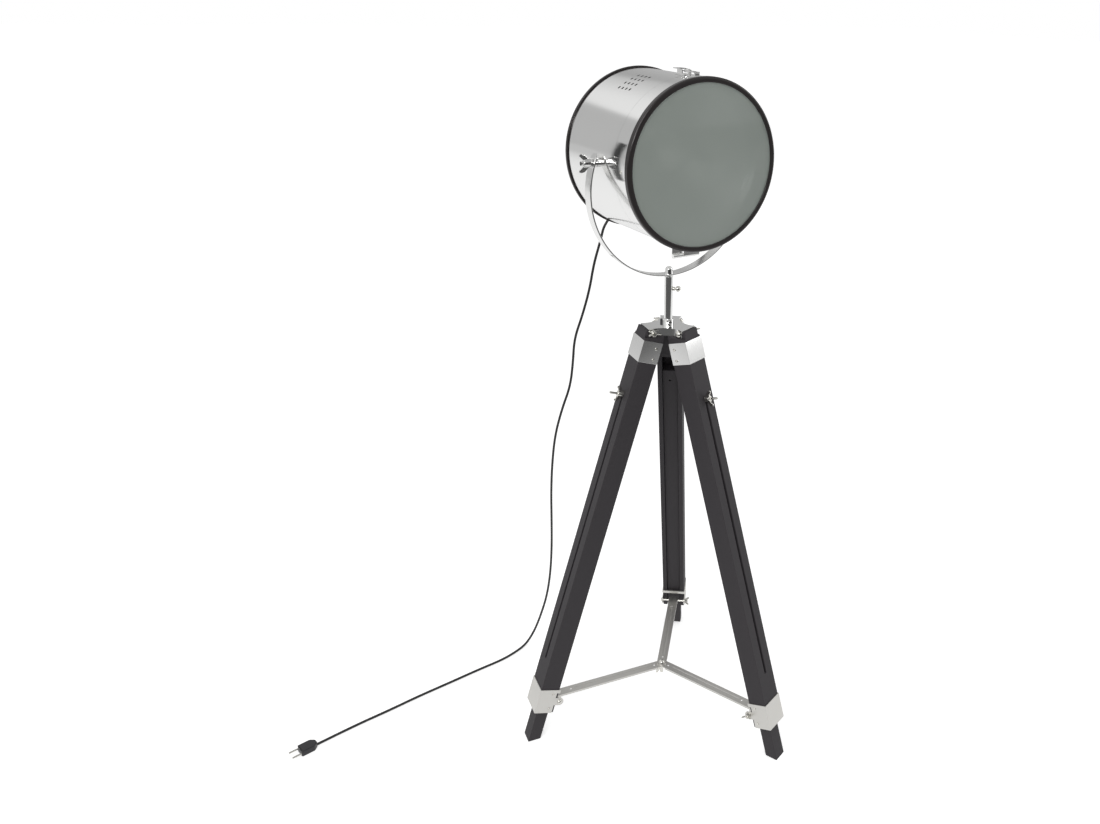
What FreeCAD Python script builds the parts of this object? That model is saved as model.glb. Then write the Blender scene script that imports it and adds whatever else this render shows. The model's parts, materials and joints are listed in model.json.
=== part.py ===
"""Tripod spotlight floor lamp: a drum lamp head in a stirrup yoke on three telescopic wooden legs.

Millimetres. The origin lies on the floor under the post's axis, +Z is up and the lens faces -Y.
Leg pieces are built in the plane of one leg (x outwards, y tangential, z up) and turned about Z.
Along a leg, "down" is measured from the middle of its top, and "out" from its centre line.
Head pieces are built on the head's own axes: x to the right, y up and z towards the lens.
"""
import FreeCAD, Part
import Sketcher
import math
import os
import re

V = FreeCAD.Vector
ROUND = 360
LEGS = {"right": 0, "back": 1, "left": 2}
SIDES = {"left": -1, "right": 1}

SIZES = {
    # legs
    "leg_count": 3,
    "leg_azimuth": -67.94,
    "leg_lean": 16.67,
    "leg_top_radius": 42.4,
    "leg_top_height": 900,
    "leg_wide": 53,
    "leg_deep": 42,
    "leg_web": 9.7,
    "leg_solid_top": 60,
    "inner_wide": 32,
    "inner_deep": 26.5,
    "inner_start": 100,
    "slide_gap": 0.3,
    "slot_wide": 6,
    "slot_above_clamp": 4,
    "slot_end_up": 196.5,
    "clamp_down": 127,
    "clamp_bolt_radius": 2.4,
    "clamp_bolt_proud": 30,
    # sheet metal on the legs
    "sheet": 1.6,
    "ferrule_long": 46,
    "bracket_above_foot": 77.8,
    "bracket_long": 56.5,
    "bracket_strip": 4,
    "crossbar_tall": 8,
    "crossbar_thick": 3,
    "ear_half": 9,
    "screw_radius": 3.1,
    "screw_proud": 1.4,
    "screw_edge": 12,
    "ferrule_screw_first": 13.5,
    "bracket_screw_first": 10.5,
    "screw_pitch": 23.3,
    "bracket_screw_pitch": 35.5,
    # hub
    "hub_above_legs": 26,
    "hub_thick": 16,
    "lobe_reach": 51.5,
    "lobe_wall": 3.5,
    "lobe_roof": 4,
    "lobe_hollow": 38,
    "hub_waist": 30,
    "scallop_radius": 44,
    "tongue_back": 30,
    "lip_below_top": 1.5,
    "lip_wide": 44,
    "fit_gap": 0.3,
    "pivot_bolt_radius": 3,
    "pivot_bolt_below_top": 8.5,
    "pivot_bolt_out": 43,
    "pivot_bolt_seat": 22.6,
    "pivot_bolt_end": 34,
    "pivot_head_radius": 7.4,
    "pivot_head_thick": 5,
    "hub_stud_radius": 3.2,
    "hub_stud_tall": 8,
    "hub_stud_x": -6,
    "hub_stud_y": 15,
    # post
    "post_radius": 8.75,
    "post_wall": 1.6,
    "post_above_hub": 101.7,
    "collar_radius": 11.2,
    "collar_tall": 12,
    "collar_screw_radius": 4,
    "collar_screw_proud": 2.5,
    "running_gap": 0.05,
    "thumb_below_top": 26.7,
    "thumb_azimuth": -34,
    "thumb_shank": 2.5,
    "thumb_collar_radius": 4,
    "thumb_collar_end": 13,
    "thumb_head_radius": 6,
    "thumb_head_start": 15.5,
    # yoke
    "stem_flange": 3.3,
    "stem_deep": 70,
    "yoke_clear": 10.06,
    "yoke_thick": 3,
    "yoke_wide": 22,
    "yoke_drop": 56.5,
    "yoke_horn": 7,
    "yoke_boss_radius": 9,
    "yoke_boss_clear": 5,
    "yoke_boss_long": 12,
    "yoke_bolt_radius": 4.5,
    "yoke_bolt_proud": 6,
    "dome_radius": 7.5,
    "dome_base": 7,
    "dome_flare": 1.5,
    # lamp head
    "shell_radius": 160,
    "shell_wall": 1.2,
    "seam_front": 60,
    "seam_gap": 0.3,
    "shell_back": 130,
    "rim_proud": 4,
    "door_deep": 58.6,
    "rim_lip": 10.5,
    "rim_wrap": 12,
    "rim_face": 2.6,
    "back_rim_proud": 3,
    "back_rim_long": 8,
    "back_rim_lip": 8,
    "back_rim_face": 2.5,
    "glass_thick": 3,
    "cap_wall": 1.5,
    "cap_dish_radius": 80,
    "cap_dish_edge": 100,
    "cap_dish_deep": 6,
    "vent_rows": 4,
    "vent_columns": 4,
    "vent_first_angle": 108.9,
    "vent_row_angle": 5.65,
    "vent_first": -43,
    "vent_pitch": 13.5,
    "vent_wide": 4.5,
    "vent_tall": 6.5,
    "stud_radius": 4,
    "stud_past_boss": 19,
    "stud_washer_radius": 9,
    "stud_inside": 6,
    "band_screw_from_seam": 26.5,
    "band_screw_drop": 4.2,
    # light source
    "reflector_edge": 12,
    "reflector_throat": 24,
    "reflector_from_seam": 8,
    "reflector_deep": 132,
    "reflector_wall": 1,
    "holder_radius": 19,
    "holder_long": 48,
    "bulb_radius": 30,
    "bulb_neck": 13,
    "bulb_long": 104,
    # door hinge
    "hinge_below": 23,
    "hinge_past_seam": 1,
    "hinge_barrel": 4.5,
    "hinge_pin": 2,
    "hinge_left": -30,
    "hinge_split": -6,
    "hinge_right": 29,
    "hinge_leaf": 2,
    "hinge_pad": 24,
    "hinge_pad_thick": 2.5,
    # latch
    "latch_wide": 21,
    "latch_base_gap": 2,
    "latch_base_long": 32,
    "latch_plate": 2,
    "latch_ear": 1.5,
    "latch_pivot_behind": 15,
    "latch_pivot_up": 6.5,
    "latch_pin": 1.2,
    "lever_gap": 0.4,
    "lever_cheek": 1.5,
    "lever_long": 31,
    "lever_top_thick": 1.5,
    "bail_back": 7,
    "bail_up": 1.5,
    "bail_bar": 1.6,
    "bail_reach": 24,
    "bail_pin": 0.8,
    "catch_gap": 4,
    "catch_long": 38,
    "catch_ridge": 5,
    # switch
    "switch_radius": 22,
    "switch_tall": 14,
    "rocker_wide": 12,
    "rocker_radius": 10.2,
    "rocker_gap": 0.3,
    "rocker_tilt": 8,
    "rocker_pin": 1,
    # spreader
    "arm_wide": 22,
    "arm_sheet": 1.5,
    "arm_flange": 5,
    "arm_flange_start": 16,
    "arm_ear_deep": 7.5,
    "arm_ear_long": 16,
    "arm_end_past": 7,
    "arm_above_bolt": 2.48,
    "arm_hole_radius": 2,
    "arm_hole_in": 19,
    "arm_hole_from_end": 35.8,
    "arm_groove_wide": 4,
    "arm_groove_deep": 0.7,
    "arm_bolt_up": 105.49,
    "arm_bolt_in": 28,
    "arm_bolt_radius": 2.5,
    "arm_bolt_proud": 9,
    "arm_head_radius": 5.5,
    "arm_head_tall": 4.5,
    "hole_gap": 0.1,
    "centre_bolt_radius": 4,
    "centre_bolt_under": 22.5,
    "centre_head_radius": 7,
    "centre_head_tall": 5.5,
    # cord
    "cord_radius": 2.75,
    "gland_side": 36,
    "gland_from_edge": 40,
    "gland_behind": 2,
    "gland_radius": 9,
    "gland_tall": 6,
    "boot_start": 2,
    "boot_long": 22,
    "boot_wide": 6.5,
    "boot_thin": 4,
    "cord_stub": 10,
    "cord_first_run": 34,
    "plug_thick": 14,
    "plug_half_wide": 13,
    "plug_half_neck": 5,
    "plug_taper": 9,
    "plug_long": 37,
    "plug_pin_radius": 2,
    "plug_pin_long": 19,
    "plug_pin_spread": 9.5,
}

# each wing nut's bore radius, hub radii and height, and its wings' reach, height, thickness and root
WING_NUTS = {
    "leg_nut": (2.4, 7.5, 6, 12, 17, 16, 2.4, 1.6),
    "pivot_nut": (3, 7, 5.2, 9, 14, 14, 2, 4.6),
    "arm_nut": (2.5, 5.5, 4.2, 7, 12, 12, 1.8, 1.2),
    "tilt_nut": (4, 8, 6.5, 13, 18, 22, 3, 2.2),
    "centre_nut": (4, 7.5, 6, 10, 15, 20, 2.4, 2),
}
WING_PARTS = ("bore", "base", "crown", "tall", "reach", "height", "thick", "root")

# heights and places that follow from the sizes above
WORKED_OUT = {
    "leg_long": "leg_top_height / cos(leg_lean)",
    "slot_end": "leg_long - slot_end_up",
    "hub_top": "leg_top_height + hub_above_legs",
    "lip_top": "hub_top - lip_below_top",
    "pivot_bolt_height": "hub_top - pivot_bolt_below_top",
    "post_top": "hub_top + post_above_hub",
    "thumb_height": "post_top - thumb_below_top",
    "strap_bottom": "post_top + stem_flange",
    "yoke_radius": "sqrt((shell_radius + yoke_clear)^2 + yoke_drop^2) + yoke_thick",
    "pivot_height": "strap_bottom + yoke_radius + yoke_drop",
    "yoke_boss_inner": "shell_radius + yoke_boss_clear",
    "yoke_boss_outer": "yoke_boss_inner + yoke_boss_long",
    "stud_end": "yoke_boss_outer + stud_past_boss",
    "rim_radius": "shell_radius + rim_proud",
    "rim_front": "seam_front + door_deep",
    "back_rim_radius": "shell_radius + back_rim_proud",
    "band_screw_front": "seam_front + band_screw_from_seam",
    "reflector_mouth": "shell_radius - reflector_edge",
    "reflector_front": "seam_front - reflector_from_seam",
    "hinge_drop": "shell_radius + hinge_below",
    "hinge_front": "seam_front + hinge_past_seam",
    "latch_base_front": "seam_front - latch_base_gap",
    "latch_base_back": "latch_base_front - latch_base_long",
    "latch_pivot_front": "seam_front - latch_pivot_behind",
    "lever_back": "latch_pivot_front - lever_long",
    "bail_front": "seam_front + bail_reach",
    "catch_back": "seam_front + catch_gap",
    "catch_front": "catch_back + catch_long",
    "arm_bolt_down": "leg_long - arm_bolt_up",
    "arm_long": "leg_top_radius + arm_bolt_down * sin(leg_lean) - arm_bolt_in * cos(leg_lean)",
    "arm_bolt_height": "leg_top_height - arm_bolt_down * cos(leg_lean) - arm_bolt_in * sin(leg_lean)",
    "arm_top": "arm_bolt_height + arm_above_bolt",
    "arm_ear_bottom": "arm_top - arm_ear_deep",
    "arm_hole_out": "arm_long - arm_hole_from_end",
    "centre_bolt_bottom": "arm_top - centre_bolt_under",
    "gland_x": "-gland_side",
    "gland_y": "gland_from_edge - shell_radius",
    "gland_z": "-shell_back - gland_behind",
}

# the free cord's route from the gland to the plug, in world axes, after its two worked-out points
CORD_ROUTE = [
    (-55, 190, 1064), (-66, 200, 1012), (-72, 208, 955), (-84, 220, 893), (-97, 235, 836),
    (-97, 243, 778), (-100, 252, 717), (-115, 267, 657), (-127, 280, 590), (-131, 290, 515),
    (-131, 299, 435), (-128, 306, 355), (-126, 313, 275), (-128, 320, 200), (-134, 330, 134),
    (-143, 342, 84), (-153, 352, 42), (-169, 352, 15), (-192, 341, 4), (-222, 329, 3),
    (-262, 318, 3), (-325, 313, 3), (-398, 304, 3), (-475, 296, 3), (-552, 284, 3),
    (-630, 275, 3), (-712, 260, 3),
]

doc = FreeCAD.newDocument("tripod_spotlight_lamp")
sheet = doc.addObject("Spreadsheet::Sheet", "Sizes")
for family, numbers in WING_NUTS.items():
    for part, number in zip(WING_PARTS, numbers):
        SIZES[family + "_" + part] = number
for row, (alias, number) in enumerate(SIZES.items(), start=1):
    sheet.set("A%d" % row, alias)
    sheet.set("B%d" % row, str(number))
    sheet.setAlias("B%d" % row, alias)
doc.recompute()

NODES = []


def size(name):
    """The value of one cell."""
    return float(sheet.get(name))


def link(text):
    """Turn the words of a formula into references to the sheet's cells."""
    def meaning(found):
        word = found.group()
        if word in WORKED_OUT:
            return "(%s)" % link(WORKED_OUT[word])
        return "Sizes." + word if word in SIZES else word
    return re.sub(r"[a-z][a-z_]+", meaning, text)


def bind(thing, **formulas):
    for prop, text in formulas.items():
        thing.setExpression(prop, link(text))


def put(thing, at=("0", "0", "0"), turn=None):
    """Turn a piece about the origin and bind its place to the sheet."""
    if turn:
        thing.Placement = FreeCAD.Placement(V(), turn)
    for letter, text in zip("xyz", at):
        thing.setExpression("Placement.Base." + letter, link(text))
    return thing


ALONG_X = FreeCAD.Rotation(V(0, 1, 0), 90)
ALONG_MINUS_X = FreeCAD.Rotation(V(0, 1, 0), -90)
ALONG_Y = FreeCAD.Rotation(V(1, 0, 0), -90)
ALONG_MINUS_Y = FreeCAD.Rotation(V(1, 0, 0), 90)
ALONG_MINUS_Z = FreeCAD.Rotation(V(1, 0, 0), 180)


def box(long, wide, tall, at):
    piece = doc.addObject("Part::Box", "Block")
    bind(piece, Length=long, Width=wide, Height=tall)
    return put(piece, at)


def span(x, y, z):
    """A box given by its limits on each axis, as pairs of formulas."""
    sizes = ["(%s) - (%s)" % (high, low) for low, high in (x, y, z)]
    return box(*sizes, (x[0], y[0], z[0]))


def rod(radius, long, at=("0", "0", "0"), turn=None):
    piece = doc.addObject("Part::Cylinder", "Rod")
    bind(piece, Radius=radius, Height=long)
    return put(piece, at, turn)


def cone(first, last, long, at=("0", "0", "0"), turn=None):
    piece = doc.addObject("Part::Cone", "Cone")
    bind(piece, Radius1=first, Radius2=last, Height=long)
    return put(piece, at, turn)


def ball(radius, at=("0", "0", "0")):
    piece = doc.addObject("Part::Sphere", "Ball")
    bind(piece, Radius=radius)
    return put(piece, at)


def dome(radius, tall, at=("0", "0", "0"), turn=None):
    """A flattened button: a ball's cap of the given base radius and height, standing on z = 0."""
    round_part = doc.addObject("Part::Sphere", "Cap")
    bind(round_part, Radius="((%s)^2 + (%s)^2) / (2 * (%s))" % (radius, tall, tall))
    bind(round_part, **{"Placement.Base.z": "(%s) - ((%s)^2 + (%s)^2) / (2 * (%s))" % (tall, radius, tall, tall)})
    return put(meet(round_part, rod("(%s) * 2" % radius, tall)), at, turn)


def join(*pieces):
    if len(pieces) == 1:
        return pieces[0]
    result = doc.addObject("Part::MultiFuse", "Join")
    result.Shapes = list(pieces)
    result.Refine = True
    return result


def cut(base, *tools):
    result = doc.addObject("Part::Cut", "Cut")
    result.Base = base
    result.Tool = join(*tools)
    result.Refine = True
    return result


def meet(one, other):
    result = doc.addObject("Part::Common", "Meet")
    result.Base = one
    result.Tool = other
    return result


def group(*pieces):
    """Separate solids kept side by side."""
    result = doc.addObject("Part::Compound", "Group")
    result.Links = list(pieces)
    return result


def outline(body, role, corners):
    """A closed polygon on one of the body's own planes, each corner bound to two formulas."""
    sketch = body.newObject("Sketcher::SketchObject", "Outline")
    plane = next(f for f in body.Origin.OriginFeatures if f.Role == role)
    sketch.AttachmentSupport = [(plane, "")]
    sketch.MapMode = "FlatFace"
    count = len(corners)
    guess = [V(value(x), value(y), 0) for x, y in corners]
    for i in range(count):
        sketch.addGeometry(Part.LineSegment(guess[i], guess[(i + 1) % count]), False)
    for i in range(count):
        sketch.addConstraint(Sketcher.Constraint("Coincident", i, 2, (i + 1) % count, 1))
    for i, (x, y) in enumerate(corners):
        for kind, text, start in (("DistanceX", x, guess[i].x), ("DistanceY", y, guess[i].y)):
            index = sketch.addConstraint(Sketcher.Constraint(kind, -1, 1, i, 1, start))
            sketch.setExpression("Constraints[%d]" % index, link(text))
    return sketch


def value(text):
    """Work a formula out in numbers, through a scratch property of the sheet's document."""
    probe = doc.addObject("App::FeaturePython", "Probe")
    probe.addProperty("App::PropertyFloat", "Number")
    probe.setExpression("Number", link(text))
    probe.recompute()
    number = probe.Number
    doc.removeObject(probe.Name)
    return number


def turned(name, corners, at=("0", "0", "0"), turn=None):
    """A PartDesign body revolved about its Z axis from corners of (radius, height)."""
    body = doc.addObject("PartDesign::Body", name)
    sketch = outline(body, "XZ_Plane", corners)
    feature = body.newObject("PartDesign::Revolution", "Turn")
    feature.Profile = sketch
    feature.ReferenceAxis = (sketch, ["V_Axis"])
    feature.Angle = ROUND
    return put(body, at, turn)


def plate(name, role, corners, thick, at=("0", "0", "0"), turn=None):
    """A PartDesign body padded both ways from a polygon on one of its planes."""
    body = doc.addObject("PartDesign::Body", name)
    sketch = outline(body, role, corners)
    feature = body.newObject("PartDesign::Pad", "Pad")
    feature.Profile = sketch
    feature.SideType = "Symmetric"
    bind(feature, Length=thick)
    return put(body, at, turn)


def node(label, thing, frame=None):
    """Name a finished sub-part and stand it in the lamp."""
    if frame:
        thing = group(thing)
        thing.Placement = frame
    thing.Label = label
    NODES.append(thing)
    return thing


def turned_about_z(degrees):
    return FreeCAD.Placement(V(), FreeCAD.Rotation(V(0, 0, 1), degrees))


def leg_turn(which):
    """The frame of one leg's vertical plane."""
    return turned_about_z(size("leg_azimuth") + which * ROUND / size("leg_count"))


def leaned(thing):
    """Lean a piece built on a leg's own axes (x out, y tangential, z up the leg) into its plane."""
    lean = FreeCAD.Rotation(V(0, 1, 0), -size("leg_lean"))
    top = FreeCAD.Placement(V(size("leg_top_radius"), 0, size("leg_top_height")), lean)
    holder = group(thing)
    holder.Placement = top
    return holder


def per_leg(label, build, only=None):
    """One node for each leg, from a function that builds it in the leg's plane."""
    for side, which in LEGS.items():
        node(label + "_" + side, build(), leg_turn(which))


def for_all_legs(label, build):
    """One node holding the same piece on every leg."""
    pieces = []
    for which in LEGS.values():
        piece = group(build())
        piece.Placement = leg_turn(which)
        pieces.append(piece)
    node(label, group(*pieces))


LEG_OUT = "leg_deep / 2"
SIDE = "leg_wide / 2"
BRACKET_LOW = "(leg_long - bracket_above_foot)"
BRACKET_TOP = "(leg_long - bracket_above_foot - bracket_long)"
INNER_FACE = "(leg_deep / 2 - leg_web)"
HUB_BOTTOM = "(hub_top - hub_thick)"


# ---------------------------------------------------------------- legs

def outer_leg():
    """A wooden channel: solid at its top, open towards the post, slotted for the clamp."""
    wood = box("leg_deep", "leg_wide", BRACKET_LOW + " + 60",
               ("-leg_deep / 2", "-leg_wide / 2", "-" + BRACKET_LOW))
    half = "(inner_wide / 2 + slide_gap)"
    channel = span(("-leg_deep", INNER_FACE), ("-" + half, half),
                   ("-" + BRACKET_LOW + " - 10", "-leg_solid_top"))
    slot = span(("0", "leg_deep"), ("-slot_wide / 2", "slot_wide / 2"),
                ("-slot_end", "-clamp_down + slot_above_clamp"))
    above = span(("-50", "120"), ("-60", "60"), (HUB_BOTTOM + " - fit_gap", "hub_top + 60"))
    hollow_end = "(lobe_reach - lobe_wall - fit_gap)"
    half_tongue = "(lobe_hollow / 2 - fit_gap)"
    tongue = span(("tongue_back + fit_gap", hollow_end), ("-" + half_tongue, half_tongue),
                  (HUB_BOTTOM + " - 1", "hub_top - lobe_roof - fit_gap"))
    lip = span(("lobe_reach + fit_gap", "120"), ("-lip_wide / 2", "lip_wide / 2"), (HUB_BOTTOM + " - 1", "lip_top"))
    bolt_hole = rod("pivot_bolt_radius + hole_gap", "leg_wide * 2",
                    ("pivot_bolt_out", "-leg_wide", "pivot_bolt_height"), ALONG_Y)
    return cut(leaned(cut(wood, channel, slot)), cut(above, tongue, lip), bolt_hole)


def inner_leg():
    """The sliding lower leg, cut level where it stands on the floor."""
    wood = span((INNER_FACE + " - slide_gap - inner_deep", INNER_FACE + " - slide_gap"),
                ("-inner_wide / 2", "inner_wide / 2"), ("-leg_long - 40", "-inner_start"))
    bolt_hole = rod("clamp_bolt_radius + running_gap", "leg_deep * 2",
                    ("-leg_deep", "0", "-clamp_down"), ALONG_X)
    under_floor = span(("0", "800"), ("-100", "100"), ("-100", "0"))
    return cut(leaned(cut(wood, bolt_hole)), under_floor)


def ferrule():
    """Sheet metal folded round the outer face and both sides of a leg's top."""
    metal = span(("-%s" % LEG_OUT, LEG_OUT + " + sheet"), ("-%s - sheet" % SIDE, SIDE + " + sheet"),
                 ("-ferrule_long", "0"))
    wood = span(("-leg_deep", LEG_OUT), ("-" + SIDE, SIDE), ("-ferrule_long - 1", "1"))
    return leaned(cut(metal, wood))


def foot_bracket():
    """Sheet metal round a leg's foot, with a bar across its inner face and ears for the arm's bolt."""
    low = "-" + BRACKET_LOW
    high = "-" + BRACKET_TOP
    inner = "(-leg_deep / 2)"
    skirt = span((inner + " + bracket_strip", LEG_OUT + " + sheet"),
                 ("-%s - sheet" % SIDE, SIDE + " + sheet"), (low, high))
    tabs = span((inner + " - crossbar_thick", "0"), ("-%s - sheet" % SIDE, SIDE + " + sheet"),
                (high + " - crossbar_tall", high))
    ears = span(("-arm_bolt_in", "0"), ("-%s - sheet" % SIDE, SIDE + " + sheet"),
                ("-arm_bolt_down - ear_half", "-arm_bolt_down + ear_half"))
    tips = rod("ear_half", "leg_wide + 2 * sheet",
               ("-arm_bolt_in", "-%s - sheet" % SIDE, "-arm_bolt_down"), ALONG_Y)
    wood = span((inner, LEG_OUT), ("-" + SIDE, SIDE), (low + " - 1", high + " + 1"))
    between = span(("-leg_deep * 2", "0"), ("-" + SIDE, SIDE), (low, high + " - crossbar_tall"))
    bolt_hole = rod("arm_bolt_radius + hole_gap", "leg_wide * 2",
                    ("-arm_bolt_in", "-leg_wide", "-arm_bolt_down"), ALONG_Y)
    return leaned(cut(join(skirt, tabs, ears, tips), wood, between, bolt_hole))


def screw_heads(first, pitch, edge):
    """Two round heads one above the other on each side of a leg's metal."""
    heads = []
    for step in ("0", "1"):
        down = "-(%s) - %s * %s" % (first, pitch, step)
        out = "-leg_deep / 2 + (%s)" % edge
        heads.append(dome("screw_radius", "screw_proud", (out, SIDE + " + sheet", down), ALONG_Y))
        heads.append(dome("screw_radius", "screw_proud", (out, "-%s - sheet" % SIDE, down), ALONG_MINUS_Y))
    return heads


def leg_screws():
    upper = screw_heads("ferrule_screw_first", "screw_pitch", "screw_edge")
    lower = screw_heads(BRACKET_TOP + " + bracket_screw_first", "bracket_screw_pitch", "screw_edge + 1")
    return leaned(group(*upper, *lower))


def wing(family, turn):
    """One thin ear of a wing nut, flaring out and up from its hub."""
    reach, height, base, root = (family + word for word in ("_reach", "_height", "_base", "_root"))
    corners = [("0", root), (base + " * 0.95", root), (reach + " * 0.9", height + " * 0.5"),
               (reach, height + " * 0.8"), (reach + " * 0.92", height), (reach + " * 0.7", height + " * 0.97"),
               (base + " * 0.75", height + " * 0.62"), ("0", height + " * 0.6")]
    return plate("Wing", "XZ_Plane", corners, family + "_thick", turn=turn)


def wing_nut(family, bored=True):
    """A wing nut standing on z = 0 round the Z axis, its wings in the XZ plane."""
    hub = cone(family + "_base", family + "_crown", family + "_tall")
    wings = join(wing(family, None), wing(family, FreeCAD.Rotation(V(0, 0, 1), 180)))
    if not bored:
        return join(hub, wings)
    bore = rod(family + "_bore + running_gap", family + "_height * 3", ("0", "0", "-" + family + "_height"))
    return cut(join(hub, wings), bore)


def placed(thing, at, turn):
    """Stand a finished piece somewhere through a holder of its own."""
    return put(group(thing), at, turn)


def leg_clamp():
    """The clamp of a sliding leg: its bolt runs through the slot and its wings stand up and down."""
    nut = placed(wing_nut("leg_nut", False), (LEG_OUT + " + fit_gap", "0", "-clamp_down"), ALONG_X)
    bolt = rod("clamp_bolt_radius", "clamp_bolt_proud + leg_deep / 2 + 12", ("-12", "0", "-clamp_down"), ALONG_X)
    return leaned(join(nut, bolt))


def pivot_bolt():
    """A leg's bolt through its lobe of the hub, with a domed head on one side."""
    at = ("pivot_bolt_out", "-pivot_bolt_seat", "pivot_bolt_height")
    shank = rod("pivot_bolt_radius", "pivot_bolt_seat + pivot_bolt_end", at, ALONG_Y)
    return join(shank, dome("pivot_head_radius", "pivot_head_thick", at, ALONG_MINUS_Y))


def pivot_nut():
    at = ("pivot_bolt_out", "pivot_bolt_seat + fit_gap", "pivot_bolt_height")
    return placed(wing_nut("pivot_nut"), at, ALONG_Y)


def arm_bolt():
    """The bolt on which a spreader arm turns, between the foot bracket's ears."""
    side = "(%s + sheet)" % SIDE
    out = "-arm_bolt_in"
    down = "-arm_bolt_down"
    shank = rod("arm_bolt_radius", "2 * %s + arm_bolt_proud" % side, (out, "-%s - arm_bolt_proud" % side, down), ALONG_Y)
    return leaned(join(shank, dome("arm_head_radius", "arm_head_tall", (out, side, down), ALONG_Y)))


def arm_nut():
    at = ("-arm_bolt_in", "-%s - sheet - fit_gap" % SIDE, "-arm_bolt_down")
    return leaned(placed(wing_nut("arm_nut"), at, ALONG_MINUS_Y))


# ---------------------------------------------------------------- hub and post

def hub():
    """A cast plate of three hollow lobes with scallops between them."""
    disc = rod("lobe_reach + 15", "hub_thick", ("0", "0", HUB_BOTTOM))
    tools = []
    for which in LEGS.values():
        tip = span(("lobe_reach", "lobe_reach + 40"), ("-60", "60"), (HUB_BOTTOM + " - 1", "hub_top + 1"))
        hollow = span(("tongue_back", "lobe_reach - lobe_wall"), ("-lobe_hollow / 2", "lobe_hollow / 2"),
                      (HUB_BOTTOM + " - 1", "hub_top - lobe_roof"))
        hole = rod("pivot_bolt_radius + hole_gap", "200", ("pivot_bolt_out", "-100", "pivot_bolt_height"), ALONG_Y)
        scallop = rod("scallop_radius", "hub_thick + 2", ("hub_waist + scallop_radius", "0", HUB_BOTTOM + " - 1"))
        for tool, extra in ((tip, 0), (hollow, 0), (hole, 0), (scallop, ROUND / size("leg_count") / 2)):
            holder = group(tool)
            holder.Placement = turned_about_z(size("leg_azimuth") + which * ROUND / size("leg_count") + extra)
            tools.append(holder)
    bore = rod("post_radius", "hub_thick + 2", ("0", "0", HUB_BOTTOM + " - 1"))
    return cut(disc, *tools, bore)


def hub_stud():
    """A small dark stud standing on the hub behind the post."""
    at = ("hub_stud_x", "hub_stud_y", "hub_top")
    return join(rod("hub_stud_radius", "hub_stud_tall * 0.6", at),
                dome("hub_stud_radius", "hub_stud_tall * 0.4", at[:2] + ("hub_top + hub_stud_tall * 0.6",)))


def post():
    tube = rod("post_radius", "post_top - " + HUB_BOTTOM, ("0", "0", HUB_BOTTOM))
    bore = rod("post_radius - post_wall", "post_top", ("0", "0", HUB_BOTTOM + " - 1"))
    shank = rod("thumb_shank + running_gap", "post_radius * 3", ("0", "0", "thumb_height"), ALONG_X)
    hole = group(shank)
    hole.Placement = turned_about_z(size("thumb_azimuth"))
    return cut(tube, bore, hole)


def collar():
    """The post's collar on the hub, with its own round screw."""
    ring = turned("Collar", [("post_radius", "0"), ("collar_radius", "0"), ("collar_radius", "collar_tall - 1.5"),
                             ("collar_radius - 1.5", "collar_tall"), ("post_radius", "collar_tall")],
                  ("0", "0", "hub_top"))
    screw = dome("collar_screw_radius", "collar_screw_proud", ("collar_radius - 1", "0", "hub_top + collar_tall / 2"),
                 ALONG_X)
    return join(ring, placed(screw, ("0", "0", "0"), FreeCAD.Rotation(V(0, 0, 1), -100)))


def thumbscrew():
    """The screw that holds the yoke's stem in the post, standing out along +X before it is turned."""
    start = "(post_radius - post_wall + running_gap)"
    shank = rod("thumb_shank", "thumb_head_start - post_radius + post_wall", (start, "0", "0"), ALONG_X)
    neck = rod("thumb_collar_radius", "thumb_collar_end - post_radius - fit_gap",
               ("post_radius + fit_gap", "0", "0"), ALONG_X)
    head = ball("thumb_head_radius", ("thumb_head_start + thumb_head_radius * 0.6", "0", "0"))
    slice_off = span(("0", "thumb_head_start"), ("-20", "20"), ("-20", "20"))
    return join(shank, neck, cut(head, slice_off))


# ---------------------------------------------------------------- yoke

def stem():
    """The yoke's spigot: it turns in the post, carries the strap and ends in the dome nut's thread."""
    spigot = "(post_radius - post_wall - running_gap)"
    return turned("Stem", [("0", "post_top - stem_deep"), (spigot, "post_top - stem_deep"),
                           (spigot, "post_top + 0.3"), ("post_radius", "post_top + 0.3"),
                           ("post_radius", "strap_bottom"), ("yoke_bolt_radius", "strap_bottom"),
                           ("yoke_bolt_radius", "strap_bottom + yoke_thick + yoke_bolt_proud"),
                           ("0", "strap_bottom + yoke_thick + yoke_bolt_proud")])


def dome_nut():
    """An acorn nut seated on the strap's curve, with a flat-sided base and a round crown."""
    base = cone("dome_radius + dome_flare", "dome_radius", "yoke_thick + dome_base", ("0", "0", "strap_bottom"))
    crown = dome("dome_radius", "dome_radius", ("0", "0", "strap_bottom + yoke_thick + dome_base"))
    thread = rod("yoke_bolt_radius", "yoke_thick + yoke_bolt_proud", ("0", "0", "strap_bottom"))
    inside_strap = rod("yoke_radius - yoke_thick", "dome_radius * 4",
                       ("0", "-dome_radius * 2", "strap_bottom + yoke_radius"), ALONG_Y)
    return cut(meet(join(base, crown), inside_strap), thread)


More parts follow.
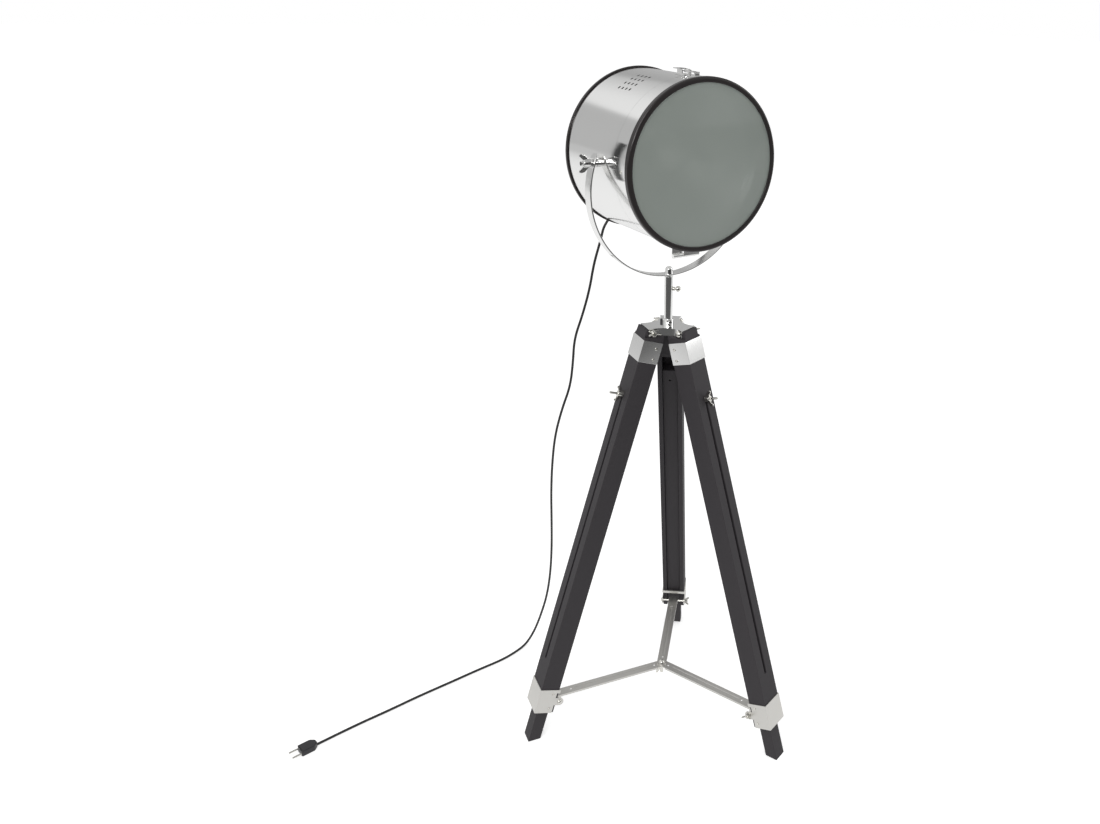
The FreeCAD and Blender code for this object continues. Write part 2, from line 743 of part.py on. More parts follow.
def strap():
    """A flat strap bent to an arc that closes in again up to the pivots, on the head's axes."""
    centre = ("0", "-yoke_drop", "-yoke_wide / 2")
    arc = cut(rod("yoke_radius", "yoke_wide", centre), rod("yoke_radius - yoke_thick", "yoke_wide * 2", centre[:2] + ("-yoke_wide",)))
    side_view = join(span(("-300", "300"), ("-300", "yoke_horn"), ("-yoke_wide / 2", "yoke_wide / 2")),
                     rod("yoke_wide / 2", "600", ("-300", "yoke_horn", "0"), ALONG_X))
    pieces = [meet(arc, side_view)]
    holes = [rod("yoke_bolt_radius + hole_gap", "40", ("0", "-yoke_drop - yoke_radius - 20", "0"), ALONG_Y)]
    for turn in (ALONG_X, ALONG_MINUS_X):
        boss = placed(rod("yoke_boss_radius", "yoke_boss_outer - yoke_boss_inner", ("0", "0", "yoke_boss_inner")),
                      ("0", "0", "0"), turn)
        pieces.append(boss)
        holes.append(placed(rod("stud_radius + running_gap", "60", ("0", "0", "yoke_boss_inner - 10")),
                            ("0", "0", "0"), turn))
    return cut(join(*pieces), *holes)


# ---------------------------------------------------------------- lamp head

SHELL_IN = "(shell_radius - shell_wall)"


def tube_between(outer, inner, back, front):
    ring = rod(outer, "(%s) - (%s)" % (front, back), ("0", "0", back))
    return cut(ring, rod(inner, "(%s) - (%s) + 2" % (front, back), ("0", "0", back + " - 1")))


def vents():
    """Rows of small slots through the shell's upper left side."""
    slots = []
    for row in range(int(size("vent_rows"))):
        for column in range(int(size("vent_columns"))):
            slot = box("20", "vent_tall", "vent_wide", ("shell_radius - 10", "-vent_tall / 2",
                       "vent_first + vent_pitch * %d - vent_wide / 2" % column))
            holder = group(slot)
            holder.Placement = turned_about_z(size("vent_first_angle") + row * size("vent_row_angle"))
            slots.append(holder)
    return slots


def drum_shell():
    shell = tube_between("shell_radius", SHELL_IN, "-shell_back", "seam_front")
    stud_holes = rod("stud_radius + hole_gap", "shell_radius * 2 + 20", ("-shell_radius - 10", "0", "0"), ALONG_X)
    return cut(shell, stud_holes, *vents())


def door_band():
    return tube_between("shell_radius", SHELL_IN, "seam_front + seam_gap", "rim_front - rim_face")


def front_rim():
    """The dark ring that wraps the band's front edge and holds the glass."""
    back = "(rim_front - rim_wrap)"
    face = "(rim_front - rim_face)"
    return turned("FrontRim", [("rim_radius - rim_lip", face), ("shell_radius", face), ("shell_radius", back),
                               ("rim_radius - 1", back), ("rim_radius", back + " + 1"),
                               ("rim_radius", "rim_front - 1.5"), ("rim_radius - 1.5", "rim_front"),
                               ("rim_radius - rim_lip", "rim_front")])


def lens_glass():
    return rod(SHELL_IN + " - fit_gap", "glass_thick", ("0", "0", "rim_front - rim_face - glass_thick"))


def back_rim():
    """The dark ring round the drum's rear edge."""
    back = "(-shell_back - back_rim_face)"
    return turned("BackRim", [("shell_radius - back_rim_lip", back), ("back_rim_radius - 1.5", back),
                              ("back_rim_radius", back + " + 1.5"), ("back_rim_radius", back + " + back_rim_long - 1"),
                              ("back_rim_radius - 1", back + " + back_rim_long"), ("shell_radius", back + " + back_rim_long"),
                              ("shell_radius", "-shell_back"), ("shell_radius - back_rim_lip", "-shell_back")])


def back_cap():
    """The drum's dished rear plate."""
    edge = SHELL_IN + " - 0.1"
    flat, deep = "-shell_back", "-shell_back - cap_dish_deep"
    return turned("BackCap", [("0", deep), ("cap_dish_radius", deep), ("cap_dish_edge", flat), (edge, flat),
                              (edge, flat + " + cap_wall"), ("cap_dish_edge", flat + " + cap_wall"),
                              ("cap_dish_radius", deep + " + cap_wall"), ("0", deep + " + cap_wall")])


def pivot_studs():
    """The head's two studs, each with a nut inside the shell and a washer seated on its outside."""
    studs = []
    for turn in (ALONG_X, ALONG_MINUS_X):
        shank = placed(rod("stud_radius", "stud_end - shell_radius + stud_inside", ("0", "0", "shell_radius - stud_inside")),
                       ("0", "0", "0"), turn)
        inside = placed(rod("stud_washer_radius", "stud_inside", ("0", "0", "shell_radius - stud_inside")),
                        ("0", "0", "0"), turn)
        washer = placed(rod("stud_washer_radius", "yoke_boss_inner - fit_gap - shell_radius + 2", ("0", "0", "shell_radius - 2")),
                        ("0", "0", "0"), turn)
        drum = rod("shell_radius", "100", ("0", "0", "-50"))
        cavity = rod(SHELL_IN, "100", ("0", "0", "-50"))
        studs.append(join(shank, meet(inside, cavity), cut(washer, drum)))
    return group(*studs)


def tilt_nut():
    at = ("yoke_boss_outer + fit_gap", "0", "0")
    return placed(placed(wing_nut("tilt_nut"), ("0", "0", "0"), FreeCAD.Rotation(V(0, 0, 1), 90)), at, ALONG_X)


def band_screws():
    """A round screw head on each side of the door's band."""
    at = ("shell_radius - 0.1", "-band_screw_drop", "band_screw_front")
    drum = rod("shell_radius", "seam_front", ("0", "0", "seam_front"))
    screws = []
    for side in SIDES.values():
        head = dome("screw_radius", "screw_proud", at, ALONG_X)
        if side < 0:
            head = dome("screw_radius", "screw_proud", ("-shell_radius + 0.1",) + at[1:], ALONG_MINUS_X)
        screws.append(cut(head, drum))
    return group(*screws)


def reflector():
    """A parabolic dish, thin, flanged at its mouth."""
    steps = 7
    inside, outside = [], []
    for step in range(steps + 1):
        radius = "(reflector_throat + (reflector_mouth - reflector_throat) * %d / %d)" % (step, steps)
        share = "(%s^2 - reflector_throat^2) / (reflector_mouth^2 - reflector_throat^2)" % radius
        height = "(reflector_front - reflector_deep + reflector_deep * %s)" % share
        inside.append((radius, height))
        outside.append((radius + " + reflector_wall", height + " - reflector_wall"))
    flange = [(SHELL_IN + " - fit_gap", "reflector_front - reflector_wall"), (SHELL_IN + " - fit_gap", "reflector_front")]
    return turned("Reflector", outside + flange + inside[::-1])


HOLDER_BACK = "(-shell_back - cap_dish_deep + cap_wall)"


def lamp_holder():
    return join(rod("holder_radius", "holder_long", ("0", "0", HOLDER_BACK)),
                cone("holder_radius + 5", "holder_radius", "8", ("0", "0", HOLDER_BACK)))


def bulb():
    start = "(%s + holder_long)" % HOLDER_BACK
    middle = "(%s + bulb_long - bulb_radius)" % start
    return join(cone("bulb_neck", "bulb_radius * 0.85", "bulb_long - bulb_radius * 1.55", ("0", "0", start)),
                ball("bulb_radius", ("0", "0", middle)))


# ---------------------------------------------------------------- door hinge

def hinge_pad(left, right, back, front):
    """A strip seated on the underside of the drum."""
    slab = span((left, right), ("-shell_radius - hinge_pad_thick", "-shell_radius + 5"), (back, front))
    return cut(slab, rod("shell_radius", "300", ("0", "0", "-100")))


def hinge_on_drum():
    pin = rod("hinge_pin", "hinge_right - hinge_left", ("hinge_left", "-hinge_drop", "hinge_front"), ALONG_X)
    barrel = rod("hinge_barrel", "hinge_split - 0.1 - hinge_left", ("hinge_left", "-hinge_drop", "hinge_front"), ALONG_X)
    leaf = span(("hinge_left", "hinge_split - 0.1"), ("-hinge_drop", "-shell_radius - 1.5"),
                ("hinge_front - hinge_barrel", "hinge_front - hinge_barrel + hinge_leaf"))
    pad = hinge_pad("hinge_left", "hinge_split - 0.1", "seam_front - hinge_pad", "seam_front - 0.5")
    return join(pin, barrel, leaf, pad)


def hinge_on_door():
    barrel = rod("hinge_barrel", "hinge_right - hinge_split - 0.1", ("hinge_split + 0.1", "-hinge_drop", "hinge_front"), ALONG_X)
    leaf = span(("hinge_split + 0.1", "hinge_right"), ("-hinge_drop", "-shell_radius - 1"),
                ("hinge_front + hinge_barrel - hinge_leaf", "hinge_front + hinge_barrel"))
    pad = hinge_pad("hinge_split + 0.1", "hinge_right", "hinge_front + hinge_barrel - hinge_leaf", "seam_front + hinge_pad")
    bore = rod("hinge_pin + running_gap", "100", ("-50", "-hinge_drop", "hinge_front"), ALONG_X)
    return cut(join(barrel, leaf, pad), bore)


# ---------------------------------------------------------------- latch

LATCH_TOP = "(shell_radius + latch_plate)"
PIVOT_UP = "(shell_radius + latch_pivot_up)"
EAR_IN = "(latch_wide / 2 - latch_ear)"
CHEEK_OUT = "(latch_wide / 2 - latch_ear - lever_gap)"
CHEEK_IN = "(latch_wide / 2 - latch_ear - lever_gap - lever_cheek)"
ARM_OUT = "(latch_wide / 2 - latch_ear - lever_gap * 2 - lever_cheek)"
BAIL_FRONT = "(latch_pivot_front - bail_back)"
BAIL_UP = "(shell_radius + latch_pivot_up + bail_up)"


def both_sides(inner, outer, y, z):
    return [span((inner, outer), y, z), span(("-" + outer, "-" + inner), y, z)]


def pins(radius, inner, outer, up, front):
    return [rod(radius, "%s - %s" % (outer, inner), (inner, up, front), ALONG_X),
            rod(radius, "%s - %s" % (outer, inner), ("-" + inner, up, front), ALONG_MINUS_X)]


def seated(slab):
    return cut(slab, rod("shell_radius", "400", ("0", "0", "-200")))


def latch_base():
    """The latch's base plate on the shell, with two ears and their stub pins."""
    slab = seated(span(("-latch_wide / 2", "latch_wide / 2"), ("shell_radius - 3", LATCH_TOP),
                       ("latch_base_back", "latch_base_front")))
    ears = both_sides(EAR_IN, "(latch_wide / 2)", (LATCH_TOP + " - 1", PIVOT_UP + " + 3"),
                      ("latch_pivot_front - 5", "latch_pivot_front + 5"))
    return join(slab, *ears, *pins("latch_pin", CHEEK_IN, "(latch_wide / 2)", PIVOT_UP, "latch_pivot_front"))


def latch_lever():
    """Two cheeks on the base's pins, joined by the plate that a finger lifts."""
    low = PIVOT_UP + " - 3"
    cheeks = both_sides(CHEEK_IN, CHEEK_OUT, (low, BAIL_UP + " + 3"), ("latch_pivot_front - 16", "latch_pivot_front + 3"))
    top = span(("-" + CHEEK_OUT, CHEEK_OUT), (BAIL_UP + " + 2", BAIL_UP + " + 2 + lever_top_thick"),
               ("lever_back", BAIL_FRONT + " - 5"))
    holes = pins("latch_pin + running_gap", "(%s - 1)" % CHEEK_IN, "(latch_wide / 2)", PIVOT_UP, "latch_pivot_front")
    holes += pins("bail_pin + running_gap", "(%s - 1)" % CHEEK_IN, "(latch_wide / 2)", BAIL_UP, BAIL_FRONT)
    return cut(join(*cheeks, top), *holes)


def latch_bail():
    """The loop that reaches from the lever over the seam to the catch."""
    level = (BAIL_UP + " - bail_bar / 2", BAIL_UP + " + bail_bar / 2")
    arms = both_sides("(%s - bail_bar)" % ARM_OUT, ARM_OUT, level, (BAIL_FRONT + " - 1.2", "bail_front"))
    bar = span(("-" + ARM_OUT, ARM_OUT), level, ("bail_front - bail_bar", "bail_front"))
    return join(*arms, bar, *pins("bail_pin", "(%s - 0.5)" % ARM_OUT, CHEEK_OUT, BAIL_UP, BAIL_FRONT))


def latch_catch():
    """The door's catch: a plate with a low ridge on which the loop's bar lies."""
    slab = seated(span(("-latch_wide / 2", "latch_wide / 2"), ("shell_radius - 3", LATCH_TOP),
                       ("catch_back", "catch_front")))
    ridge = span(("-catch_ridge", "catch_ridge"), (LATCH_TOP + " - 1", BAIL_UP + " - bail_bar / 2 - fit_gap"),
                 ("bail_front - bail_bar - 1", "bail_front + 2"))
    return join(slab, ridge)


# ---------------------------------------------------------------- switch

SWITCH_BACK = "(-shell_back - cap_dish_deep)"
ROCKER_Z = "(-shell_back - cap_dish_deep - switch_tall + 6)"


def switch_housing():
    can = rod("switch_radius", "switch_tall", ("0", "0", SWITCH_BACK), ALONG_MINUS_Z)
    pocket = span(("-rocker_wide / 2 - rocker_gap", "rocker_wide / 2 + rocker_gap"),
                  ("-rocker_radius - rocker_gap", "rocker_radius + rocker_gap"),
                  (SWITCH_BACK + " - switch_tall - 1", ROCKER_Z + " + 2"))
    pin_hole = rod("rocker_pin + running_gap", "rocker_wide + 4", ("-rocker_wide / 2 - 2", "0", ROCKER_Z), ALONG_X)
    return cut(can, pocket, pin_hole)


def switch_rocker():
    """A half-round rocker on two stub pins, tipped to its off side."""
    wheel = rod("rocker_radius", "rocker_wide", ("-rocker_wide / 2", "0", "0"), ALONG_X)
    front_half = span(("-20", "20"), ("-20", "20"), ("-9", "0"))
    shaft = rod("rocker_pin", "rocker_wide + 3", ("-rocker_wide / 2 - 1.5", "0", "0"), ALONG_X)
    tipped = FreeCAD.Rotation(V(1, 0, 0), size("rocker_tilt"))
    return placed(join(meet(wheel, front_half), shaft), ("0", "0", ROCKER_Z), tipped)


# ---------------------------------------------------------------- spreader

def spreader_arm(which):
    """A pressed channel from the centre bolt to a foot bracket, the arms stacked at the centre."""
    top = "(arm_top + arm_sheet * %d)" % ((which + 1) % 3)
    half = "arm_wide / 2"
    end = "arm_long + arm_end_past"
    web = join(span(("0", end), ("-" + half, half), (top + " - arm_sheet", top)),
               rod(half, "arm_sheet", ("0", "0", top + " - arm_sheet")))
    parts = [web]
    for low, high in (("-" + half, "-%s + arm_sheet" % half), (half + " - arm_sheet", half)):
        parts.append(span(("arm_flange_start", end), (low, high), (top + " - arm_flange", top)))
        parts.append(span((end + " - arm_ear_long", end), (low, high), ("arm_ear_bottom", top)))
    groove = span(("arm_hole_in + 8", "arm_hole_out - 8"), ("-arm_groove_wide / 2", "arm_groove_wide / 2"),
                  (top + " - arm_groove_deep", top + " + 1"))
    holes = [rod("arm_hole_radius", "20", (x, "0", top + " - 10")) for x in ("arm_hole_in", "arm_hole_out")]
    centre = rod("centre_bolt_radius + hole_gap", "20", ("0", "0", top + " - 10"))
    pin = rod("arm_bolt_radius + running_gap", "60", ("arm_long", "-30", "arm_bolt_height"), ALONG_Y)
    return cut(join(*parts), groove, *holes, centre, pin)


STACK_TOP = "(arm_top + arm_sheet * 2)"


def centre_bolt():
    shank = rod("centre_bolt_radius", STACK_TOP + " - centre_bolt_bottom", ("0", "0", "centre_bolt_bottom"))
    return join(shank, dome("centre_head_radius", "centre_head_tall", ("0", "0", STACK_TOP)))


def centre_nut():
    return placed(wing_nut("centre_nut"), ("0", "0", "arm_top - arm_sheet - fit_gap"), ALONG_MINUS_Z)


# ---------------------------------------------------------------- cord

def gland_point(distance):
    """A point past the gland on the line from the head's pivot through it, on the head's axes."""
    gland = V(value("gland_x"), value("gland_y"), value("gland_z"))
    return gland * (1 + distance / gland.Length)


def along_gland():
    return FreeCAD.Rotation(V(0, 0, 1), gland_point(0))


def strain_relief():
    """A base on the rear plate and a tapering boot that leans back and down."""
    base = rod("gland_radius", "gland_tall", ("gland_x", "gland_y", "-shell_back"), ALONG_MINUS_Z)
    boot = group(cone("boot_wide", "boot_thin", "boot_long"))
    boot.Placement = FreeCAD.Placement(gland_point(size("boot_start")), along_gland())
    drum = span(("-300", "300"), ("-300", "300"), ("-shell_back", "0"))
    return join(base, cut(boot, drum))


def cord_top():
    """The short end of cord that moves with the head."""
    piece = group(rod("cord_radius", "cord_stub - running_gap"))
    piece.Placement = FreeCAD.Placement(gland_point(value("boot_start + boot_long")), along_gland())
    return piece


def rounded_path(points):
    """Straight runs joined by tangent arcs, each as large as its two runs allow."""
    edges, radii, start = [], [], points[0]
    for before, corner, after in zip(points, points[1:], points[2:]):
        back, ahead = (before - corner), (after - corner)
        shorter = min(back.Length, ahead.Length)
        half_turn = (math.pi - back.getAngle(ahead)) / 2
        radii.append(0.45 * shorter / math.tan(half_turn))
        back.normalize()
        ahead.normalize()
        first = corner + back * (0.45 * shorter)
        last = corner + ahead * (0.45 * shorter)
        to_centre = (back + ahead).normalize() * (radii[-1] / math.cos(half_turn))
        middle = corner + to_centre - (back + ahead).normalize() * radii[-1]
        edges.append(Part.LineSegment(start, first).toShape())
        edges.append(Part.Arc(first, middle, last).toShape())
        start = last
    edges.append(Part.LineSegment(start, points[-1]).toShape())
    return Part.Wire(edges), radii


def cord_points():
    """The free cord's points: two worked out from the gland, then the chosen route, then the plug."""
    joint = value("boot_start + boot_long + cord_stub")
    first = head_frame().multVec(gland_point(joint))
    second = head_frame().multVec(gland_point(joint + size("cord_first_run")))
    return [first, second] + [V(*point) for point in CORD_ROUTE]


def free_cord():
    """The cord's free stretch: a plain tube along its route."""
    path, radii = rounded_path(cord_points())
    start = cord_points()[0]
    heading = (cord_points()[1] - start).normalize()
    section = Part.Wire(Part.Circle(start, heading, size("cord_radius")).toShape())
    tube = path.makePipeShell([section], True, False)
    piece = doc.addObject("Part::Feature", "FreeCord")
    piece.Shape = tube
    expected = math.pi * size("cord_radius") ** 2 * path.Length
    print("cord length %.1f, least radius %.1f, volume against section times length %.5f"
          % (path.Length, min(radii), tube.Volume / expected))
    print("cord radii", [round(r) for r in radii])
    return piece


def plug_frame():
    """The frame at the cord's end, x along the cord, lying on the floor."""
    last, before = cord_points()[-1], cord_points()[-2]
    heading = last - before
    turn = FreeCAD.Rotation(V(0, 0, 1), math.degrees(math.atan2(heading.y, heading.x)))
    return FreeCAD.Placement(V(last.x, last.y, size("plug_thick") / 2), turn)


def plug_body():
    """A flat two-pin plug, its neck round the cord's end."""
    neck, wide = "plug_half_neck", "plug_half_wide"
    return plate("PlugBody", "XY_Plane",
                 [("0", "-" + neck), ("plug_taper", "-" + wide), ("plug_long - 3", "-" + wide),
                  ("plug_long", "-%s + 3" % wide), ("plug_long", wide + " - 3"), ("plug_long - 3", wide),
                  ("plug_taper", wide), ("0", neck)], "plug_thick")


def plug_pins():
    pins_made = [rod("plug_pin_radius", "plug_pin_long", ("plug_long", side + "plug_pin_spread", "0"), ALONG_X)
                 for side in ("", "-")]
    return group(*pins_made)


# ---------------------------------------------------------------- assembly

def head_frame():
    """The frame of the lamp head, whose origin is the tilt axis."""
    return FreeCAD.Placement(V(0, 0, value("pivot_height")), ALONG_MINUS_Y)


def opposite(frame):
    return frame.multiply(turned_about_z(ROUND / 2))


def build():
    node("hub_casting", hub())
    node("hub_stud", hub_stud())
    node("post_tube", post())
    node("post_collar", collar())
    for_all_legs("leg_pivot_bolts", pivot_bolt)
    per_leg("outer_leg", outer_leg)
    for_all_legs("leg_ferrules", ferrule)
    for_all_legs("leg_screws", leg_screws)
    for_all_legs("foot_brackets", foot_bracket)
    for_all_legs("arm_bolts", arm_bolt)
    for side, which in LEGS.items():
        node("spreader_arm_" + side, spreader_arm(which), leg_turn(which))
    node("spreader_bolt", centre_bolt())
    node("cord_drop", free_cord())
    node("plug_body", plug_body(), plug_frame())
    node("plug_pins", plug_pins(), plug_frame())
    per_leg("inner_leg", inner_leg)
    per_leg("leg_clamp", leg_clamp)
    per_leg("pivot_wing_nut", pivot_nut)
    per_leg("arm_wing_nut", arm_nut)
    screw_frame = FreeCAD.Placement(V(0, 0, value("thumb_height")),
                                    FreeCAD.Rotation(V(0, 0, 1), size("thumb_azimuth")))
    node("post_thumbscrew", thumbscrew(), screw_frame)
    node("spreader_wing_nut", centre_nut())
    node("yoke_stem", stem())
    node("yoke_dome_nut", dome_nut())
    node("yoke_strap", strap(), head_frame())
    node("tilt_wing_nut_right", tilt_nut(), head_frame())
    node("tilt_wing_nut_left", tilt_nut(), opposite(head_frame()))
    for label, make in (("drum_shell", drum_shell), ("back_rim", back_rim), ("back_cap", back_cap),
                        ("pivot_studs", pivot_studs), ("reflector", reflector), ("lamp_holder", lamp_holder),
                        ("bulb", bulb), ("hinge_on_drum", hinge_on_drum), ("latch_base", latch_base),
                        ("strain_relief", strain_relief), ("cord_top", cord_top),
                        ("switch_housing", switch_housing), ("switch_rocker", switch_rocker),
                        ("door_band", door_band), ("front_rim", front_rim), ("lens_glass", lens_glass),
                        ("band_screws", band_screws), ("hinge_on_door", hinge_on_door),
                        ("latch_catch", latch_catch), ("latch_lever", latch_lever), ("latch_bail", latch_bail)):
        node(label, make(), head_frame())


def check_and_export():
    doc.recompute()
    for thing in doc.Objects:
        bad = [state for state in thing.State if state in ("Invalid", "Error")]
        if bad:
            raise RuntimeError("%s is %s" % (thing.Label, bad))
    for thing in NODES:
        if thing.Shape.isNull() or not thing.Shape.isValid() or not thing.Shape.Solids:
            raise RuntimeError("%s has no valid solid" % thing.Label)
    os.makedirs("parts", exist_ok=True)
    for thing in NODES:
        thing.Shape.exportStep("parts/%s.step" % thing.Label)
        print("%-24s solids %d  volume %.0f" % (thing.Label, len(thing.Shape.Solids), thing.Shape.Volume))
    print(len(NODES), "nodes")


build()
check_and_export()
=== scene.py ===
"""A tripod spotlight floor lamp: chrome drum head in a stirrup yoke on three black wooden legs.

Metres, +Z up, the lens faces -Y. Head pieces are turned on the head's own axes (x right, y up,
z towards the lens) and then stood at the tilt axis.
"""
import json
import math
import bmesh
import bpy
from mathutils import Matrix, Vector

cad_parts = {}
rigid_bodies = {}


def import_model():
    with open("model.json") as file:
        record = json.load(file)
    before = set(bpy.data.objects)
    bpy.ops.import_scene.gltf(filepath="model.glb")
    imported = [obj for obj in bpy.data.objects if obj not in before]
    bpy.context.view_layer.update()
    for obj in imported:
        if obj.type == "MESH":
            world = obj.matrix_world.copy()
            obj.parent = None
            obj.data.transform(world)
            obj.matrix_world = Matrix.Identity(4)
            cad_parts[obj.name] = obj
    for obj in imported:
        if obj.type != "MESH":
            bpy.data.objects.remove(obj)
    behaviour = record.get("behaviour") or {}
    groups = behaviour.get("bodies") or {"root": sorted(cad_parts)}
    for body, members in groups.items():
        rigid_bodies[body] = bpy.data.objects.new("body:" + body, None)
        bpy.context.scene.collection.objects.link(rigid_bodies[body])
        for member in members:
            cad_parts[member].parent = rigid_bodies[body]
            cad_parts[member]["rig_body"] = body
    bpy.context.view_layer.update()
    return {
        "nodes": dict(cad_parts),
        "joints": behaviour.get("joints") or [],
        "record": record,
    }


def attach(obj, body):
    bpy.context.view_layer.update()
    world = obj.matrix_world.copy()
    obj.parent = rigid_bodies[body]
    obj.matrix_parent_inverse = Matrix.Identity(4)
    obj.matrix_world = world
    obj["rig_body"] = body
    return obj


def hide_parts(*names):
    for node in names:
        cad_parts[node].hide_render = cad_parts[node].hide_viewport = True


bl_info = {
    "name": "Tripod spotlight lamp",
    "version": (1, 0, 0),
    "blender": (4, 5, 0),
    "location": "View3D > Sidebar > Lamp",
    "description": "Dresses the frame of a tripod spotlight floor lamp",
    "category": "Object",
}

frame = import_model()
NODES = frame["nodes"]
MM = 0.001
FULL = 2 * math.pi
SIDES = ("right", "back", "left")
LEG_AZIMUTH = dict(zip(SIDES, (math.radians(-67.94 + 120 * k) for k in range(3))))
LEG_LEAN = math.radians(16.67)
LEG_TOP = Vector((0.0424, 0, 0.9))
TILT = next(j for j in frame["joints"] if j["name"] == "head_tilt")
PIVOT = Vector(TILT["pos_m"])
HEAD = Matrix.Translation(PIVOT) @ Matrix.Rotation(math.pi / 2, 4, "X")
GLAND = Vector((-36, -120, -132)) * MM
TO_GLAND = (HEAD.to_3x3() @ GLAND).normalized()

# the free cord's route from the strain relief to the plug, in millimetres
CORD_ROUTE = [
    (-55, 190, 1064), (-66, 200, 1012), (-72, 208, 955), (-84, 220, 893), (-97, 235, 836),
    (-97, 243, 778), (-100, 252, 717), (-115, 267, 657), (-127, 280, 590), (-131, 290, 515),
    (-131, 299, 435), (-128, 306, 355), (-126, 313, 275), (-128, 320, 200), (-134, 330, 134),
    (-143, 342, 84), (-153, 352, 42), (-169, 352, 15), (-192, 341, 4), (-222, 329, 3),
    (-262, 318, 3), (-325, 313, 3), (-398, 304, 3), (-475, 296, 3), (-552, 284, 3),
    (-630, 275, 3), (-712, 260, 3),
]


# ---------------------------------------------------------------- settings

def colour(name, default, text):
    return bpy.props.FloatVectorProperty(name=name, description=text, default=default, subtype="COLOR",
                                         size=3, min=0, max=1)


def share(name, default, text):
    return bpy.props.FloatProperty(name=name, description=text, default=default, min=0, max=1, subtype="FACTOR")


def length(name, default, text):
    return bpy.props.FloatProperty(name=name, description=text, default=default, min=0, unit="LENGTH")


class LampFinish(bpy.types.PropertyGroup):
    chrome: colour("Chrome", (0.87, 0.875, 0.87), "Tint of the polished chrome")
    chrome_rough: share("Chrome roughness", 0.012, "How blurred the chrome's reflections are")
    nickel: colour("Nickel", (0.74, 0.72, 0.67), "Tint of the satin nickel")
    steel: colour("Bright steel", (0.78, 0.76, 0.70), "Tint of screws and bolts")
    wood_dark: colour("Wood, dark", (0.0012, 0.0011, 0.0011), "Stain in the open grain")
    wood_light: colour("Wood, light", (0.0125, 0.0115, 0.0122), "Stain on the raised grain")
    enamel: colour("Black enamel", (0.0022, 0.002, 0.002), "Colour of the dark rims")
    rub: colour("Rubbed edge", (0.045, 0.014, 0.009), "Brown where the rims' edges are thin")
    plastic: colour("Black plastic", (0.014, 0.014, 0.015), "Colour of the plug and the switch")
    cord: colour("Cord", (0.012, 0.012, 0.013), "Colour of the cord's jacket")
    glass: colour("Lens glass", (0.10, 0.116, 0.107), "Tint of the frosted lens")
    opal: colour("Bulb glass", (0.80, 0.78, 0.72), "Colour of the opal bulb")


class LampShape(bpy.types.PropertyGroup):
    drum_radius: length("Drum radius", 0.160, "Outer radius of the drum's sheet")
    drum_wall: length("Drum wall", 0.0012, "Thickness of the drum's sheet")
    drum_back: length("Drum back", 0.130, "From the tilt axis to the drum's rear edge")
    seam: length("Seam", 0.060, "From the tilt axis to the seam of the door")
    rim_front: length("Rim front", 0.1186, "From the tilt axis to the front rim's face")
    strap_radius: length("Strap radius", 0.1822, "Outer radius of the yoke's strap")
    strap_drop: length("Strap drop", 0.0565, "How far the strap's centre lies below the tilt axis")
    strap_wide: length("Strap width", 0.022, "Width of the yoke's strap")
    strap_thick: length("Strap thickness", 0.003, "Thickness of the yoke's strap")
    wood_edge: length("Wood edge", 0.0013, "Rounding of the legs' edges")
    metal_edge: length("Sheet edge", 0.0004, "Rounding of the sheet metal's edges")
    cord_diameter: length("Cord diameter", 0.0055, "Diameter of the cord")
    around: bpy.props.IntProperty(name="Steps around", description="Faces round the drum", default=320, min=64)


class Studio(bpy.types.PropertyGroup):
    floor: colour("Floor", (0.86, 0.86, 0.86), "Colour of the floor")
    floor_glow: share("Floor glow", 0.52, "How far the floor is lifted to white for the camera")
    ambient: share("Ambient", 0.62, "Strength of the surrounding light on matt surfaces")
    key_power: bpy.props.FloatProperty(name="Key", description="Power of the main soft light", default=34, unit="POWER")
    fill_power: bpy.props.FloatProperty(name="Fill", description="Power of the side light", default=12, unit="POWER")
    front_power: bpy.props.FloatProperty(name="Front", description="Power of the light beside the camera", default=7,
                                         unit="POWER")
    lens: bpy.props.FloatProperty(name="Lens", description="Focal length in millimetres", default=32.96, min=1)


def finish():
    return bpy.context.scene.lamp_finish


def shape():
    return bpy.context.scene.lamp_shape


def studio():
    return bpy.context.scene.lamp_studio


# ---------------------------------------------------------------- materials

def socket_group(name, inputs, outputs):
    """An empty shader node group with named sockets, given as (name, kind, default)."""
    group = bpy.data.node_groups.new(name, "ShaderNodeTree")
    for label, kind, default in inputs:
        made = group.interface.new_socket(name=label, in_out="INPUT", socket_type="NodeSocket" + kind)
        if default is not None:
            made.default_value = default
    for label, kind in outputs:
        group.interface.new_socket(name=label, in_out="OUTPUT", socket_type="NodeSocket" + kind)
    return group, group.nodes.new("NodeGroupInput"), group.nodes.new("NodeGroupOutput")


def add(tree, kind, values=(), links=(), **settings):
    """A node with its settings, socket values and incoming links."""
    made = tree.nodes.new("ShaderNode" + kind)
    for key, setting in settings.items():
        setattr(made, key, setting)
    for key, number in dict(values).items():
        made.inputs[key].default_value = number
    for key, source in dict(links).items():
        tree.links.new(source, made.inputs[key])
    return made


def smudge_group():
    """Faint handling marks: roughness that drifts about a base value."""
    tree, start, end = socket_group(
        "Handling marks",
        [("Vector", "Vector", None), ("Scale", "Float", 18.0), ("Base", "Float", 0.05), ("Spread", "Float", 0.03)],
        [("Roughness", "Float")])
    cloud = add(tree, "TexNoise", {"Detail": 5.0, "Roughness": 0.62},
                {"Vector": start.outputs["Vector"], "Scale": start.outputs["Scale"]})
    ramp = add(tree, "MapRange", {1: 0.38, 2: 0.72, 3: 0.0, 4: 1.0}, {0: cloud.outputs["Fac"]})
    spread = add(tree, "Math", (), {0: ramp.outputs[0], 1: start.outputs["Spread"]}, operation="MULTIPLY")
    total = add(tree, "Math", (), {0: spread.outputs[0], 1: start.outputs["Base"]}, operation="ADD")
    tree.links.new(total.outputs[0], end.inputs["Roughness"])
    return tree


